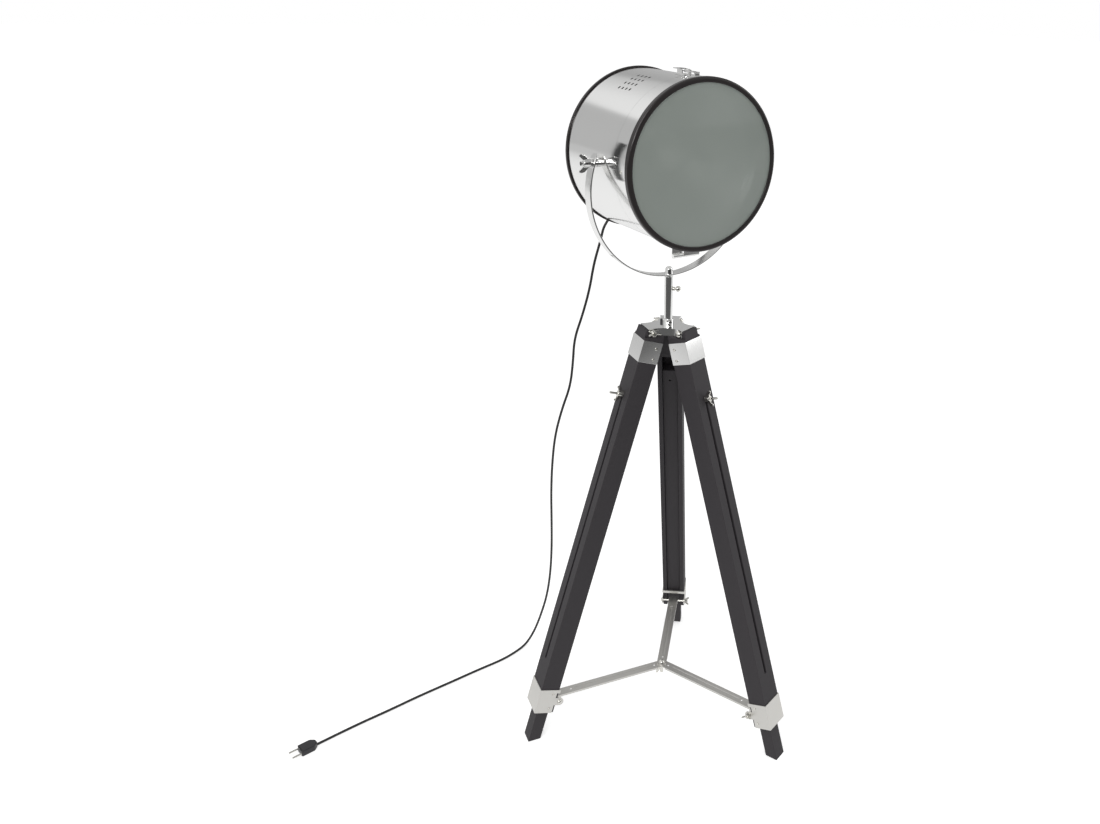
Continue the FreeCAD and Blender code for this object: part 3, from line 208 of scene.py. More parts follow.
def ripple_group():
    """The slight waviness of formed sheet, or the pebble of a moulding, as a normal."""
    tree, start, end = socket_group(
        "Surface ripple",
        [("Vector", "Vector", None), ("Scale", "Float", 6.0), ("Detail", "Float", 1.0),
         ("Strength", "Float", 0.1), ("Depth", "Float", 0.001)],
        [("Normal", "Vector"), ("Mask", "Float")])
    wave = add(tree, "TexNoise", {"Roughness": 0.5},
               {"Vector": start.outputs["Vector"], "Scale": start.outputs["Scale"], "Detail": start.outputs["Detail"]})
    bump = add(tree, "Bump", (), {"Height": wave.outputs["Fac"], "Strength": start.outputs["Strength"],
                                  "Distance": start.outputs["Depth"]})
    tree.links.new(bump.outputs["Normal"], end.inputs["Normal"])
    tree.links.new(wave.outputs["Fac"], end.inputs["Mask"])
    return tree


def grain_group():
    """Open-grained wood: long pores and wandering bands along the third coordinate."""
    tree, start, end = socket_group(
        "Open grain",
        [("Vector", "Vector", None), ("Dark", "Color", (0.01, 0.01, 0.01, 1)), ("Light", "Color", (0.05, 0.05, 0.05, 1)),
         ("Pores", "Float", 300.0), ("Bands", "Float", 45.0)],
        [("Color", "Color"), ("Height", "Float"), ("Roughness", "Float")])
    squeeze = add(tree, "Mapping", {"Scale": (1.0, 1.0, 0.028)}, {"Vector": start.outputs["Vector"]})
    pores = add(tree, "TexNoise", {"Detail": 4.0, "Roughness": 0.68, "Distortion": 0.25},
                {"Vector": squeeze.outputs[0], "Scale": start.outputs["Pores"]})
    sharp = add(tree, "MapRange", {1: 0.40, 2: 0.60, 3: 0.0, 4: 1.0}, {0: pores.outputs["Fac"]})
    bands = add(tree, "TexNoise", {"Detail": 3.0, "Distortion": 1.4},
                {"Vector": squeeze.outputs[0], "Scale": start.outputs["Bands"]})
    both = add(tree, "Math", (), {0: sharp.outputs[0], 1: bands.outputs["Fac"]}, operation="MULTIPLY")
    mixed = add(tree, "Mix", (), {0: both.outputs[0], 6: start.outputs["Dark"], 7: start.outputs["Light"]},
                data_type="RGBA")
    rough = add(tree, "MapRange", {1: 0.0, 2: 1.0, 3: 0.62, 4: 0.40}, {0: sharp.outputs[0]})
    tree.links.new(mixed.outputs[2], end.inputs["Color"])
    tree.links.new(sharp.outputs[0], end.inputs["Height"])
    tree.links.new(rough.outputs[0], end.inputs["Roughness"])
    return tree


def edge_group():
    """A mask on the edges that the model marks as worn, broken up by small noise."""
    tree, start, end = socket_group(
        "Edge rub", [("Vector", "Vector", None), ("Edge", "Float", 0.0), ("Scale", "Float", 90.0), ("Amount", "Float", 1.0)],
        [("Mask", "Float")])
    cloud = add(tree, "TexNoise", {"Detail": 3.0}, {"Vector": start.outputs["Vector"], "Scale": start.outputs["Scale"]})
    patch = add(tree, "MapRange", {1: 0.42, 2: 0.66, 3: 0.0, 4: 1.0}, {0: cloud.outputs["Fac"]})
    broken = add(tree, "Math", (), {0: patch.outputs[0], 1: start.outputs["Edge"]}, operation="MULTIPLY")
    total = add(tree, "Math", (), {0: broken.outputs[0], 1: start.outputs["Amount"]}, operation="MULTIPLY")
    tree.links.new(total.outputs[0], end.inputs["Mask"])
    return tree


def use(tree, group, values=(), links=()):
    made = tree.nodes.new("ShaderNodeGroup")
    made.node_tree = bpy.data.node_groups[group]
    for key, number in dict(values).items():
        made.inputs[key].default_value = number
    for key, source in dict(links).items():
        tree.links.new(source, made.inputs[key])
    return made


def blank(name, tint, metallic=0.0, **values):
    """A material with one Principled shader, and the object's own coordinates."""
    material = bpy.data.materials.new(name)
    material.use_nodes = True
    tree = material.node_tree
    shader = tree.nodes["Principled BSDF"]
    shader.inputs["Base Color"].default_value = (*tint, 1)
    shader.inputs["Metallic"].default_value = metallic
    for key, number in values.items():
        shader.inputs[key.replace("_", " ")].default_value = number
    place = add(tree, "TexCoord").outputs["Object"]
    return material, tree, shader, place


def metal(name, tint, rough, spread, ripple_scale, ripple, marks=14.0, depth=0.001):
    """Metal with handling marks in its gloss and a slight ripple in its reflections."""
    material, tree, shader, place = blank(name, tint, 1.0)
    smudge = use(tree, "Handling marks", {"Scale": marks, "Base": rough, "Spread": spread}, {"Vector": place})
    wave = use(tree, "Surface ripple", {"Scale": ripple_scale, "Detail": 1.5, "Strength": ripple, "Depth": depth},
               {"Vector": place})
    tone = add(tree, "MapRange", {1: 0.3, 2: 0.7, 3: 0.94, 4: 1.0}, {0: wave.outputs["Mask"]})
    shaded = add(tree, "Mix", {6: (*tint, 1)}, {7: tone.outputs[0]}, data_type="RGBA", blend_type="MULTIPLY")
    shaded.inputs[0].default_value = 1.0
    tree.links.new(shaded.outputs[2], shader.inputs["Base Color"])
    tree.links.new(smudge.outputs["Roughness"], shader.inputs["Roughness"])
    tree.links.new(wave.outputs["Normal"], shader.inputs["Normal"])
    return material


def moulded(name, tint, rough, coat=0.0, ripple=0.15, scale=900.0, rub=None, gloss=0.4):
    """Enamel, rubber or plastic: a pebbled dielectric whose edges may be rubbed."""
    material, tree, shader, place = blank(name, tint, 0.0, Coat_Weight=coat, Coat_Roughness=0.06,
                                          Specular_IOR_Level=gloss)
    smudge = use(tree, "Handling marks", {"Scale": 30.0, "Base": rough, "Spread": 0.12}, {"Vector": place})
    wave = use(tree, "Surface ripple", {"Scale": scale, "Detail": 2.0, "Strength": ripple, "Depth": 0.0003},
               {"Vector": place})
    worn_edge = add(tree, "Attribute", attribute_name="worn").outputs["Fac"]
    edge = use(tree, "Edge rub", {"Amount": 0.8 if rub else 0.5}, {"Vector": place, "Edge": worn_edge})
    worn = add(tree, "Mix", {6: (*tint, 1), 7: (*(rub or [2.2 * part for part in tint]), 1)},
               {0: edge.outputs["Mask"]}, data_type="RGBA")
    tree.links.new(worn.outputs[2], shader.inputs["Base Color"])
    tree.links.new(smudge.outputs["Roughness"], shader.inputs["Roughness"])
    tree.links.new(wave.outputs["Normal"], shader.inputs["Normal"])
    return material


def stained_wood():
    """Black stain over open grain that follows each leg through its own coordinates."""
    material, tree, shader, _ = blank("black_wood", finish().wood_dark, 0.0, Specular_IOR_Level=0.20)
    along = add(tree, "Attribute", attribute_name="leg_axes").outputs["Vector"]
    grain = use(tree, "Open grain", {"Dark": (*finish().wood_dark, 1), "Light": (*finish().wood_light, 1)},
                {"Vector": along})
    worn_edge = add(tree, "Attribute", attribute_name="worn").outputs["Fac"]
    edge = use(tree, "Edge rub", {"Amount": 0.7, "Scale": 160.0}, {"Vector": along, "Edge": worn_edge})
    worn = add(tree, "Mix", {7: (0.055, 0.046, 0.04, 1)},
               {0: edge.outputs["Mask"], 6: grain.outputs["Color"]}, data_type="RGBA")
    bump = add(tree, "Bump", {"Strength": 0.8, "Distance": 0.0012}, {"Height": grain.outputs["Height"]})
    tree.links.new(worn.outputs[2], shader.inputs["Base Color"])
    tree.links.new(grain.outputs["Roughness"], shader.inputs["Roughness"])
    tree.links.new(bump.outputs["Normal"], shader.inputs["Normal"])
    return material


def frosted_glass():
    """The lens: tinted, lightly frosted, with a faint mottle in the frosting."""
    material, tree, shader, place = blank("frosted_glass", finish().glass, 0.0, IOR=1.5)
    shader.inputs["Transmission Weight"].default_value = 1.0
    smudge = use(tree, "Handling marks", {"Scale": 9.0, "Base": 0.10, "Spread": 0.06}, {"Vector": place})
    wave = use(tree, "Surface ripple", {"Scale": 1400.0, "Detail": 1.0, "Strength": 0.04, "Depth": 0.0002},
               {"Vector": place})
    tree.links.new(smudge.outputs["Roughness"], shader.inputs["Roughness"])
    tree.links.new(wave.outputs["Normal"], shader.inputs["Normal"])
    return material


def build_materials():
    look = finish()
    smudge_group()
    ripple_group()
    grain_group()
    edge_group()
    metal("chrome", look.chrome, look.chrome_rough, 0.035, 5.0, 0.05, depth=0.003)
    metal("nickel", look.nickel, 0.19, 0.12, 40.0, 0.08, marks=60.0)
    metal("bright_steel", look.steel, 0.16, 0.14, 120.0, 0.10, marks=150.0, depth=0.0005)
    metal("reflector_metal", (0.50, 0.50, 0.46), 0.16, 0.10, 12.0, 0.10)
    stained_wood()
    frosted_glass()
    moulded("black_enamel", look.enamel, 0.09, coat=0.25, ripple=0.04, scale=300.0, rub=look.rub, gloss=0.25)
    moulded("black_plastic", look.plastic, 0.34, ripple=0.2)
    moulded("cord_black", look.cord, 0.40, ripple=0.12, scale=1500.0)
    moulded("socket", (0.60, 0.57, 0.50), 0.30, coat=0.3, ripple=0.05, rub=(0.4, 0.36, 0.3))
    moulded("bulb_glass", look.opal, 0.18, coat=0.4, ripple=0.02, scale=60.0, rub=(0.7, 0.68, 0.6))


# ---------------------------------------------------------------- modelling

def only(*pieces):
    """Leave edit mode, and select just these pieces."""
    if bpy.context.object and bpy.context.object.mode != "OBJECT":
        bpy.ops.object.mode_set(mode="OBJECT")
    bpy.ops.object.select_all(action="DESELECT")
    for piece in pieces:
        piece.select_set(True)
    bpy.context.view_layer.objects.active = pieces[0]


def clear_selection():
    bpy.ops.object.select_all(action="DESELECT")


def settle(piece, place=None):
    """Stand a piece in the lamp and put its place into its mesh."""
    if place is not None:
        piece.matrix_world = place @ piece.matrix_world
    only(piece)
    bpy.ops.object.transform_apply(location=True, rotation=True, scale=True)
    return piece


def modify(piece, kind, **settings):
    """Add one modifier and apply it."""
    only(piece)
    modifier = piece.modifiers.new(kind.title(), kind)
    for key, setting in settings.items():
        setattr(modifier, key, setting)
    bpy.ops.object.modifier_apply(modifier=modifier.name)


def smooth(piece, degrees=38, weigh=True):
    only(piece)
    bpy.ops.object.shade_smooth_by_angle(angle=math.radians(degrees))
    if weigh:
        modify(piece, "WEIGHTED_NORMAL", keep_sharp=True, weight=60)


def dress(piece, body, slot, *nodes):
    """Give a finished piece its material and its body, and hide the nodes that it stands for."""
    piece.data.materials.clear()
    piece.data.materials.append(bpy.data.materials[slot])
    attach(piece, body)
    if nodes:
        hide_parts(*nodes)
    return piece


def arc(radius, height, round_by, start, stop, steps=6):
    """Points of a round corner, its centre at (radius, height), angles in degrees."""
    turns = [math.radians(start + (stop - start) * k / steps) for k in range(steps + 1)]
    return [(radius + round_by * math.cos(turn), height + round_by * math.sin(turn)) for turn in turns]


def lathe(name, profile, steps=96, angle=FULL, closed=False, place=None, degrees=38):
    """Draw a profile of (radius, height) in millimetres corner by corner and spin it about Z."""
    clear_selection()
    points = [Vector((radius * MM, 0, height * MM)) for radius, height in profile]
    if closed:
        points.append(points[0])
    bpy.ops.mesh.primitive_plane_add(size=0.001)
    piece = bpy.context.object
    piece.name = name
    bpy.ops.object.mode_set(mode="EDIT")
    bpy.ops.mesh.select_all(action="SELECT")
    bpy.ops.mesh.merge(type="CENTER")
    bpy.ops.transform.translate(value=points[0])
    for before, after in zip(points, points[1:]):
        bpy.ops.mesh.extrude_vertices_move(TRANSFORM_OT_translate={"value": after - before})
    bpy.ops.mesh.select_all(action="SELECT")
    bpy.ops.mesh.remove_doubles(threshold=1e-6)
    bpy.ops.mesh.select_all(action="SELECT")
    bpy.ops.mesh.spin(steps=steps, angle=angle, center=(0, 0, 0), axis=(0, 0, 1))
    bpy.ops.mesh.select_all(action="SELECT")
    bpy.ops.mesh.remove_doubles(threshold=1e-6)
    if angle < FULL:
        bpy.ops.mesh.select_all(action="DESELECT")
        bpy.ops.mesh.select_non_manifold()
        bpy.ops.mesh.edge_face_add()
        bpy.ops.mesh.select_all(action="SELECT")
    bpy.ops.mesh.normals_make_consistent(inside=False)
    bpy.ops.object.mode_set(mode="OBJECT")
    settle(piece, place)
    smooth(piece, degrees, weigh=False)
    return piece


def copy_of(name, node):
    """A merged copy of a node's mesh with its flat faces made whole."""
    piece = bpy.data.objects.new(name, NODES[node].data.copy())
    bpy.context.scene.collection.objects.link(piece)
    only(piece)
    bpy.ops.mesh.customdata_custom_splitnormals_clear()
    bpy.ops.object.mode_set(mode="EDIT")
    bpy.ops.mesh.select_all(action="SELECT")
    bpy.ops.mesh.remove_doubles(threshold=2e-6)
    bpy.ops.mesh.dissolve_limited(angle_limit=math.radians(0.2))
    bpy.ops.object.mode_set(mode="OBJECT")
    return piece


def mark_worn(piece, width):
    """Mark the points that only narrow rounding strips touch, which is where finishes rub."""
    shape_of = bmesh.new()
    shape_of.from_mesh(piece.data)
    strips = {face.index: face.calc_area() < 1.3 * width * max(edge.calc_length() for edge in face.edges)
              for face in shape_of.faces}
    marks = [1.0 if all(strips[face.index] for face in point.link_faces) else 0.0 for point in shape_of.verts]
    shape_of.free()
    piece.data.attributes.new("worn", "FLOAT", "POINT").data.foreach_set("value", marks)


def soften(piece, width, segments=2):
    """Round a piece's long sharp edges."""
    shape_of = bmesh.new()
    shape_of.from_mesh(piece.data)
    weight = shape_of.edges.layers.float.new("bevel_weight_edge")
    for edge in shape_of.edges:
        if len(edge.link_faces) == 2 and edge.calc_length() > 4 * width:
            edge[weight] = 1.0 if edge.calc_face_angle() > math.radians(40) else 0.0
    shape_of.to_mesh(piece.data)
    shape_of.free()
    modify(piece, "BEVEL", limit_method="WEIGHT", width=width, segments=segments, use_clamp_overlap=False)
    mark_worn(piece, width)
    smooth(piece)
    return piece


def cast(piece, grain, rounds):
    """Melt a piece's corners as a small casting's are: fine remesh, then smoothing."""
    modify(piece, "REMESH", mode="VOXEL", voxel_size=grain, use_smooth_shade=True)
    modify(piece, "SMOOTH", factor=0.5, iterations=rounds)
    smooth(piece, 60, weigh=False)
    return piece


def body_of(node):
    return NODES[node]["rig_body"]


# ---------------------------------------------------------------- pieces

def mark_leg_axes(piece, side):
    """Store each point on its leg's own axes, so that the grain runs down the leg."""
    lean = Matrix.Rotation(-LEG_LEAN, 4, "Y")
    leg = Matrix.Rotation(LEG_AZIMUTH[side], 4, "Z") @ Matrix.Translation(LEG_TOP) @ lean
    back = leg.inverted()
    axes = piece.data.attributes.new("leg_axes", "FLOAT_VECTOR", "POINT")
    shift = Vector((0.31, 0.17, 0.23)) * (SIDES.index(side) + 1)
    for point, entry in zip(piece.data.vertices, axes.data):
        entry.vector = back @ point.co + shift


class LAMP_OT_legs(bpy.types.Operator):
    """Make the three telescopic wooden legs"""
    bl_idname = "lamp.legs"
    bl_label = "Legs"

    def execute(self, context):
        for side in SIDES:
            for node, name in (("outer_leg_", "leg_channel_"), ("inner_leg_", "leg_slider_")):
                piece = soften(copy_of(name + side, node + side), shape().wood_edge, 3)
                mark_leg_axes(piece, side)
                dress(piece, body_of(node + side), "black_wood", node + side)
        return {"FINISHED"}


class LAMP_OT_sheet_metal(bpy.types.Operator):
    """Make the ferrules, foot brackets, spreader arms and the cast hub"""
    bl_idname = "lamp.sheet_metal"
    bl_label = "Sheet metal"

    def execute(self, context):
        edge = shape().metal_edge
        jobs = [("hub_plate", "hub_casting", 2.2 * edge, "chrome"), ("ferrule_sheets", "leg_ferrules", edge, "chrome"),
                ("foot_sheets", "foot_brackets", edge, "nickel")]
        jobs += [("spreader_" + side, "spreader_arm_" + side, edge, "nickel") for side in SIDES]
        for name, node, width, slot in jobs:
            dress(soften(copy_of(name, node), width), body_of(node), slot, node)
        return {"FINISHED"}


class LAMP_OT_wing_nuts(bpy.types.Operator):
    """Make the cast wing nuts, clamps and the post's thumbscrew"""
    bl_idname = "lamp.wing_nuts"
    bl_label = "Wing nuts"

    def execute(self, context):
        jobs = [(family + side, slot, grain) for side in SIDES for family, slot, grain in
                (("leg_clamp_", "bright_steel", 0.55), ("pivot_wing_nut_", "bright_steel", 0.5),
                 ("arm_wing_nut_", "bright_steel", 0.45))]
        jobs += [("tilt_wing_nut_right", "chrome", 0.6), ("tilt_wing_nut_left", "chrome", 0.6),
                 ("spreader_wing_nut", "bright_steel", 0.5), ("post_thumbscrew", "bright_steel", 0.4)]
        for node, slot, grain in jobs:
            piece = cast(copy_of(node + "_cast", node), grain * MM, 4)
            dress(piece, body_of(node), slot, node)
        return {"FINISHED"}


def screw_head(name, radius, tall, slot_wide=0.9):
    """One round head with a straight slot, standing on z = 0."""
    round_by = min(radius, tall) * 0.85
    top = arc(radius - round_by, tall - round_by, round_by, 0, 90, 5)
    piece = lathe(name, [(radius, 0)] + top + [(0, tall)], steps=28)
    clear_selection()
    bpy.ops.mesh.primitive_cube_add(size=1, location=(0, 0, tall * MM))
    cutter = bpy.context.object
    cutter.scale = (radius * 3 * MM, slot_wide * MM, tall * 0.9 * MM)
    settle(cutter)
    modify(piece, "BOOLEAN", operation="DIFFERENCE", object=cutter, solver="EXACT")
    bpy.data.objects.remove(cutter)
    return piece


def stand_on(point, outwards, turn):
    """The frame of a head standing on a point, its axis pointing outwards."""
    facing = Vector(outwards).to_track_quat("Z", "Y").to_matrix().to_4x4()
    return Matrix.Translation(point) @ facing @ Matrix.Rotation(turn, 4, "Z")


def scatter(name, model, places):
    """Copy a head to each place, every copy with its own mesh, and join them."""
    copies = []
    for place in places:
        piece = model.copy()
        piece.data = model.data.copy()
        bpy.context.scene.collection.objects.link(piece)
        copies.append(settle(piece, place))
    only(*copies)
    bpy.ops.object.join()
    copies[0].name = name
    smooth(copies[0], 35)
    return copies[0]


def islands(node):
    """The middle of each separate solid in a node."""
    shape_of = bmesh.new()
    shape_of.from_mesh(NODES[node].data)
    bmesh.ops.remove_doubles(shape_of, verts=shape_of.verts, dist=2e-6)
    left, middles = set(shape_of.verts), []
    while left:
        stack, found = [left.pop()], []
        while stack:
            point = stack.pop()
            found.append(point.co.copy())
            for edge in point.link_edges:
                other = edge.other_vert(point)
                if other in left:
                    left.discard(other)
                    stack.append(other)
        low = Vector(map(min, *found))
        high = Vector(map(max, *found))
        middles.append((low + high) / 2)
    shape_of.free()
    return sorted(middles, key=lambda p: (round(p.z, 4), round(p.x, 4), round(p.y, 4)))


class LAMP_OT_screws(bpy.types.Operator):
    """Make the slotted screw heads and dress the round-headed bolts"""
    bl_idname = "lamp.screws"
    bl_label = "Screws and bolts"

    def execute(self, context):
        model = screw_head("screw_model", 3.1, 1.4)
        side_face = 28.1 * MM
        places = []
        for number, middle in enumerate(islands("leg_screws")):
            across = [Vector((-math.sin(a), math.cos(a), 0)) for a in LEG_AZIMUTH.values()]
            outs = [Vector((math.cos(a), math.sin(a), 0)) for a in LEG_AZIMUTH.values()]
            nearest = max(range(3), key=lambda k: middle.dot(outs[k]))
            t = across[nearest] * (1 if middle.dot(across[nearest]) > 0 else -1)
            point = middle + t * (side_face - middle.dot(t))
            places.append(stand_on(point, t, number * 2.1))
        dress(scatter("leg_screw_heads", model, places), "stand", "bright_steel", "leg_screws")
        sides = [stand_on(PIVOT + Vector((x * 159.9 * MM, -86.5 * MM, -4.2 * MM)), (x, 0, 0), 0.4) for x in (1, -1)]
        dress(scatter("band_screw_heads", model, sides), "door", "bright_steel", "band_screws")
        small = screw_head("small_screw_model", 1.7, 0.9, 0.5)
        spots = [PIVOT + Vector((x * MM, -65.5 * MM, z * MM)) for x, z in ((23, -169), (3, -169))]
        dress(scatter("hinge_screw_heads", small, [stand_on(p, (0, -1, 0), 0.7) for p in spots]), "door", "bright_steel")
        for waste in (model, small):
            bpy.data.objects.remove(waste)
        for name, node in (("pivot_bolt_heads", "leg_pivot_bolts"), ("arm_bolt_heads", "arm_bolts"),
                           ("spreader_bolt_head", "spreader_bolt"), ("drum_studs", "pivot_studs")):
            slot = "chrome" if node == "pivot_studs" else "bright_steel"
            dress(soften(copy_of(name, node), 0.4 * MM), body_of(node), slot, node)
        return {"FINISHED"}


class LAMP_OT_post(bpy.types.Operator):
    """Make the post, its collar, the yoke's stem and the dome nut"""
    bl_idname = "lamp.post"
    bl_label = "Post"

    def execute(self, context):
        tube = [(8.75, 910), (8.75, 1026.9)] + arc(7.95, 1026.9, 0.8, 0, 90, 4) + [(7.15, 1027.7), (7.15, 910)]
        dress(lathe("post_pipe", tube, 72, closed=True), "stand", "chrome", "post_tube")
        collar = [(8.78, 926)] + [(11.2, 926), (11.2, 936.4)] + arc(9.7, 936.5, 1.5, 0, 90, 5) + [(8.78, 938)]
        ring = lathe("post_ring", collar, 72, closed=True)
        lug = lathe("ring_screw", [(3.9, 0)] + arc(3.1, 1.7, 0.8, 0, 90, 4) + [(0, 2.5)], 40,
                    place=stand_on(Vector((0, 0, 0.932)) + 0.0102 * Vector((-0.17, -0.985, 0)), (-0.17, -0.985, 0), 0))
        only(ring, lug)
        bpy.ops.object.join()
        dress(ring, "stand", "chrome", "post_collar")
        stem = [(0, 957.7), (6.5, 957.7), (7.1, 958.3), (7.1, 1028), (8.3, 1028)] + arc(8.35, 1028.4, 0.4, -90, 0, 3)
        stem += [(8.75, 1031), (4.5, 1031), (4.5, 1040), (0, 1040)]
        dress(lathe("yoke_spigot", stem, 72), "yoke", "chrome", "yoke_stem")
        cap = [(4.55, 1034.1), (8.95, 1034.1), (8.6, 1036), (7.5, 1041)] + arc(0, 1041, 7.5, 0, 90, 12)
        cap += [(0, 1040.2), (4.55, 1040.2)]
        dress(lathe("acorn_nut", cap, 72, closed=True), "yoke", "chrome", "yoke_dome_nut")
        stud = [(0, 926), (3.2, 926), (3.2, 930.4)] + arc(1.6, 931.2, 1.6, 0, 90, 5) + [(0, 933.2)]
        dress(lathe("hub_pin", stud, 40, place=Matrix.Translation((-0.006, 0.015, 0))), "stand", "black_plastic",
              "hub_stud")
        return {"FINISHED"}


class LAMP_OT_yoke(bpy.types.Operator):
    """Make the yoke's bent strap and its bosses"""
    bl_idname = "lamp.yoke"
    bl_label = "Yoke"

    def execute(self, context):
        size = shape()
        outer = size.strap_radius / MM
        inner = outer - size.strap_thick / MM
        half = size.strap_wide / 2 / MM
        soft = 0.7
        section = (arc(outer - soft, half - soft, soft, 0, 90, 3) + arc(inner + soft, half - soft, soft, 90, 180, 3)
                   + arc(inner + soft, -half + soft, soft, 180, 270, 3) + arc(outer - soft, -half + soft, soft, 270, 360, 3))
        drop = size.strap_drop / MM
        horn, tip = 7.0, 17.95
        reach = math.asin((drop + tip) / outer)
        strap = lathe("yoke_strap_bent", section, 300, math.pi + 2 * reach, closed=True)
        middle = sum((point.co for point in strap.data.vertices), Vector()) / len(strap.data.vertices)
        turn = -math.pi / 2 - math.atan2(middle.y, middle.x)
        strap.data.transform(Matrix.Translation((0, -size.strap_drop, 0)) @ Matrix.Rotation(turn, 4, "Z"))
        for point in strap.data.vertices:
            over = (point.co.y / MM - horn) / (half + 0.02)
            if over > 0:
                point.co.z *= math.sqrt(max(0.0004, 1 - min(over, 1) ** 2))
        bosses = []
        for turn in (math.pi / 2, -math.pi / 2):
            ring = [(4.05, 165), (8.4, 165), (9, 165.6), (9, 176.4), (8.4, 177), (4.05, 177)]
            bosses.append(lathe("boss", ring, 56, closed=True, place=Matrix.Rotation(turn, 4, "Y")))
        only(strap, *bosses)
        bpy.ops.object.join()
        settle(strap, HEAD)
        smooth(strap, 38)
        dress(strap, "yoke", "chrome", "yoke_strap")
        return {"FINISHED"}


def drum_sheet(name, low, high, cut_at=()):
    """A thin rolled sheet on the head's axes, cut across where asked."""
    size = shape()
    clear_selection()
    bpy.ops.mesh.primitive_cylinder_add(vertices=size.around, radius=size.drum_radius, depth=high - low,
                                        end_fill_type="NOTHING", location=(0, 0, (low + high) / 2))
    piece = bpy.context.object
    piece.name = name
    settle(piece)
    bpy.ops.object.mode_set(mode="EDIT")
    for height in cut_at:
        bpy.ops.mesh.select_all(action="SELECT")
        bpy.ops.mesh.bisect(plane_co=(0, 0, height), plane_no=(0, 0, 1))
    bpy.ops.object.mode_set(mode="OBJECT")
    return piece


def open_vents(piece, columns, first_step):
    """Delete the faces of the vents: two steps wide, five steps apart, in four rows."""
    step = FULL / shape().around
    shape_of = bmesh.new()
    shape_of.from_mesh(piece.data)
    gone = []
    for face in shape_of.faces:
        middle = face.calc_center_median()
        place = int(math.floor(math.atan2(middle.y, middle.x) / step)) - first_step
        inside = 0 <= place < 20 and place % 5 < 2
        if inside and any(low < middle.z < high for low, high in columns):
            gone.append(face)
    bmesh.ops.delete(shape_of, geom=gone, context="FACES")
    shape_of.to_mesh(piece.data)
    shape_of.free()


class LAMP_OT_drum(bpy.types.Operator):
    """Make the drum's sheet, the door's band, the rims and the rear plate"""
    bl_idname = "lamp.drum"
    bl_label = "Drum"

    def execute(self, context):
        size = shape()
        columns = [((-43 + 13.5 * k - 2.25) * MM, (-43 + 13.5 * k + 2.25) * MM) for k in range(4)]
        cuts = [edge for pair in columns for edge in pair]
        drum = drum_sheet("drum_sheet", -size.drum_back, size.seam, cuts)
        open_vents(drum, columns, 95)
        modify(drum, "SOLIDIFY", thickness=size.drum_wall, offset=-1)
        band = drum_sheet("door_sheet", size.seam + 0.0003, size.rim_front - 0.0026)
        modify(band, "SOLIDIFY", thickness=size.drum_wall, offset=-1)
        for piece, body, node in ((drum, "head", "drum_shell"), (band, "door", "door_band")):
            settle(piece, HEAD)
            smooth(piece, 30, weigh=False)
            dress(piece, body, "chrome", node)
        front = ([(153.5, 116.05), (160.1, 116.05), (160.1, 106.6)] + arc(162.8, 107.8, 1.2, -90, 0, 4)
                 + arc(160.0, 114.6, 4.0, 0, 90, 10) + arc(154.6, 117.5, 1.1, 90, 180, 4))
        dress(lathe("rim_ring", front, size.around, closed=True, place=HEAD), "door", "black_enamel", "front_rim")
        rear = ([(152.2, -130.02), (160.1, -130.02), (160.1, -124.5)] + arc(162.0, -125.5, 1.0, 90, 0, 4)
                + arc(160.6, -130.1, 2.4, 0, -90, 8) + arc(153.0, -131.7, 0.8, -90, -180, 3))
        dress(lathe("rear_ring", rear, size.around, closed=True, place=HEAD), "head", "black_enamel", "back_rim")
        dish = [(0, -136), (76, -136)] + arc(78, -132, 4, -90, -60, 4) + arc(102, -134, 4, 120, 90, 4)
        plate = dish + [(158.6, -130), (158.6, -128.5), (102, -128.5)] + arc(80, -130.5, 4, -60, -90, 4) + [(0, -134.5)]
        dress(lathe("rear_plate", plate, 256, place=HEAD), "head", "chrome", "back_cap")
        return {"FINISHED"}


class LAMP_OT_optics(bpy.types.Operator):
    """Make the frosted lens, the reflector, the holder and the bulb"""
    bl_idname = "lamp.optics"
    bl_label = "Lens and bulb"

    def execute(self, context):
        pane = [(0, 113), (157.9, 113)] + arc(157.9, 113.6, 0.6, -90, 0, 3) + arc(157.9, 115.4, 0.6, 0, 90, 3) + [(0, 116)]
        dress(lathe("lens_pane", pane, 192, place=HEAD), "door", "frosted_glass", "lens_glass")
        throat, mouth, front, deep = 24.0, 148.0, 52.0, 132.0
        steps = [throat + (mouth - throat) * k / 40 for k in range(41)]
        curve = [(r, front - deep + deep * (r * r - throat ** 2) / (mouth ** 2 - throat ** 2)) for r in steps]
        shell = [(r + 0.9, h - 0.9) for r, h in curve] + [(158.4, front - 1), (158.4, front)] + curve[::-1]
        dress(lathe("reflector_dish", shell, 192, closed=True, place=HEAD), "head", "reflector_metal", "reflector")
        holder = [(0, -134.5), (24, -134.5), (24, -132), (19, -126.5)]
        for k in range(4):
            holder += [(19, -120 + 7 * k), (18, -119 + 7 * k), (18, -117 + 7 * k), (19, -116 + 7 * k)]
        holder += [(19, -88)] + arc(17.5, -88, 1.5, 0, 90, 4) + [(0, -86.5)]
        dress(lathe("bulb_holder", holder, 72, place=HEAD), "head", "socket", "lamp_holder")
        neck = [(0, -86.5), (13, -86.5), (13, -78), (14.5, -68), (19, -52), (25, -36), (28.6, -24)]
        globe = neck + arc(0, -12.5, 30, -14, 90, 24)
        dress(lathe("bulb_globe", globe, 96, place=HEAD, degrees=60), "head", "bulb_glass", "bulb")
        return {"FINISHED"}


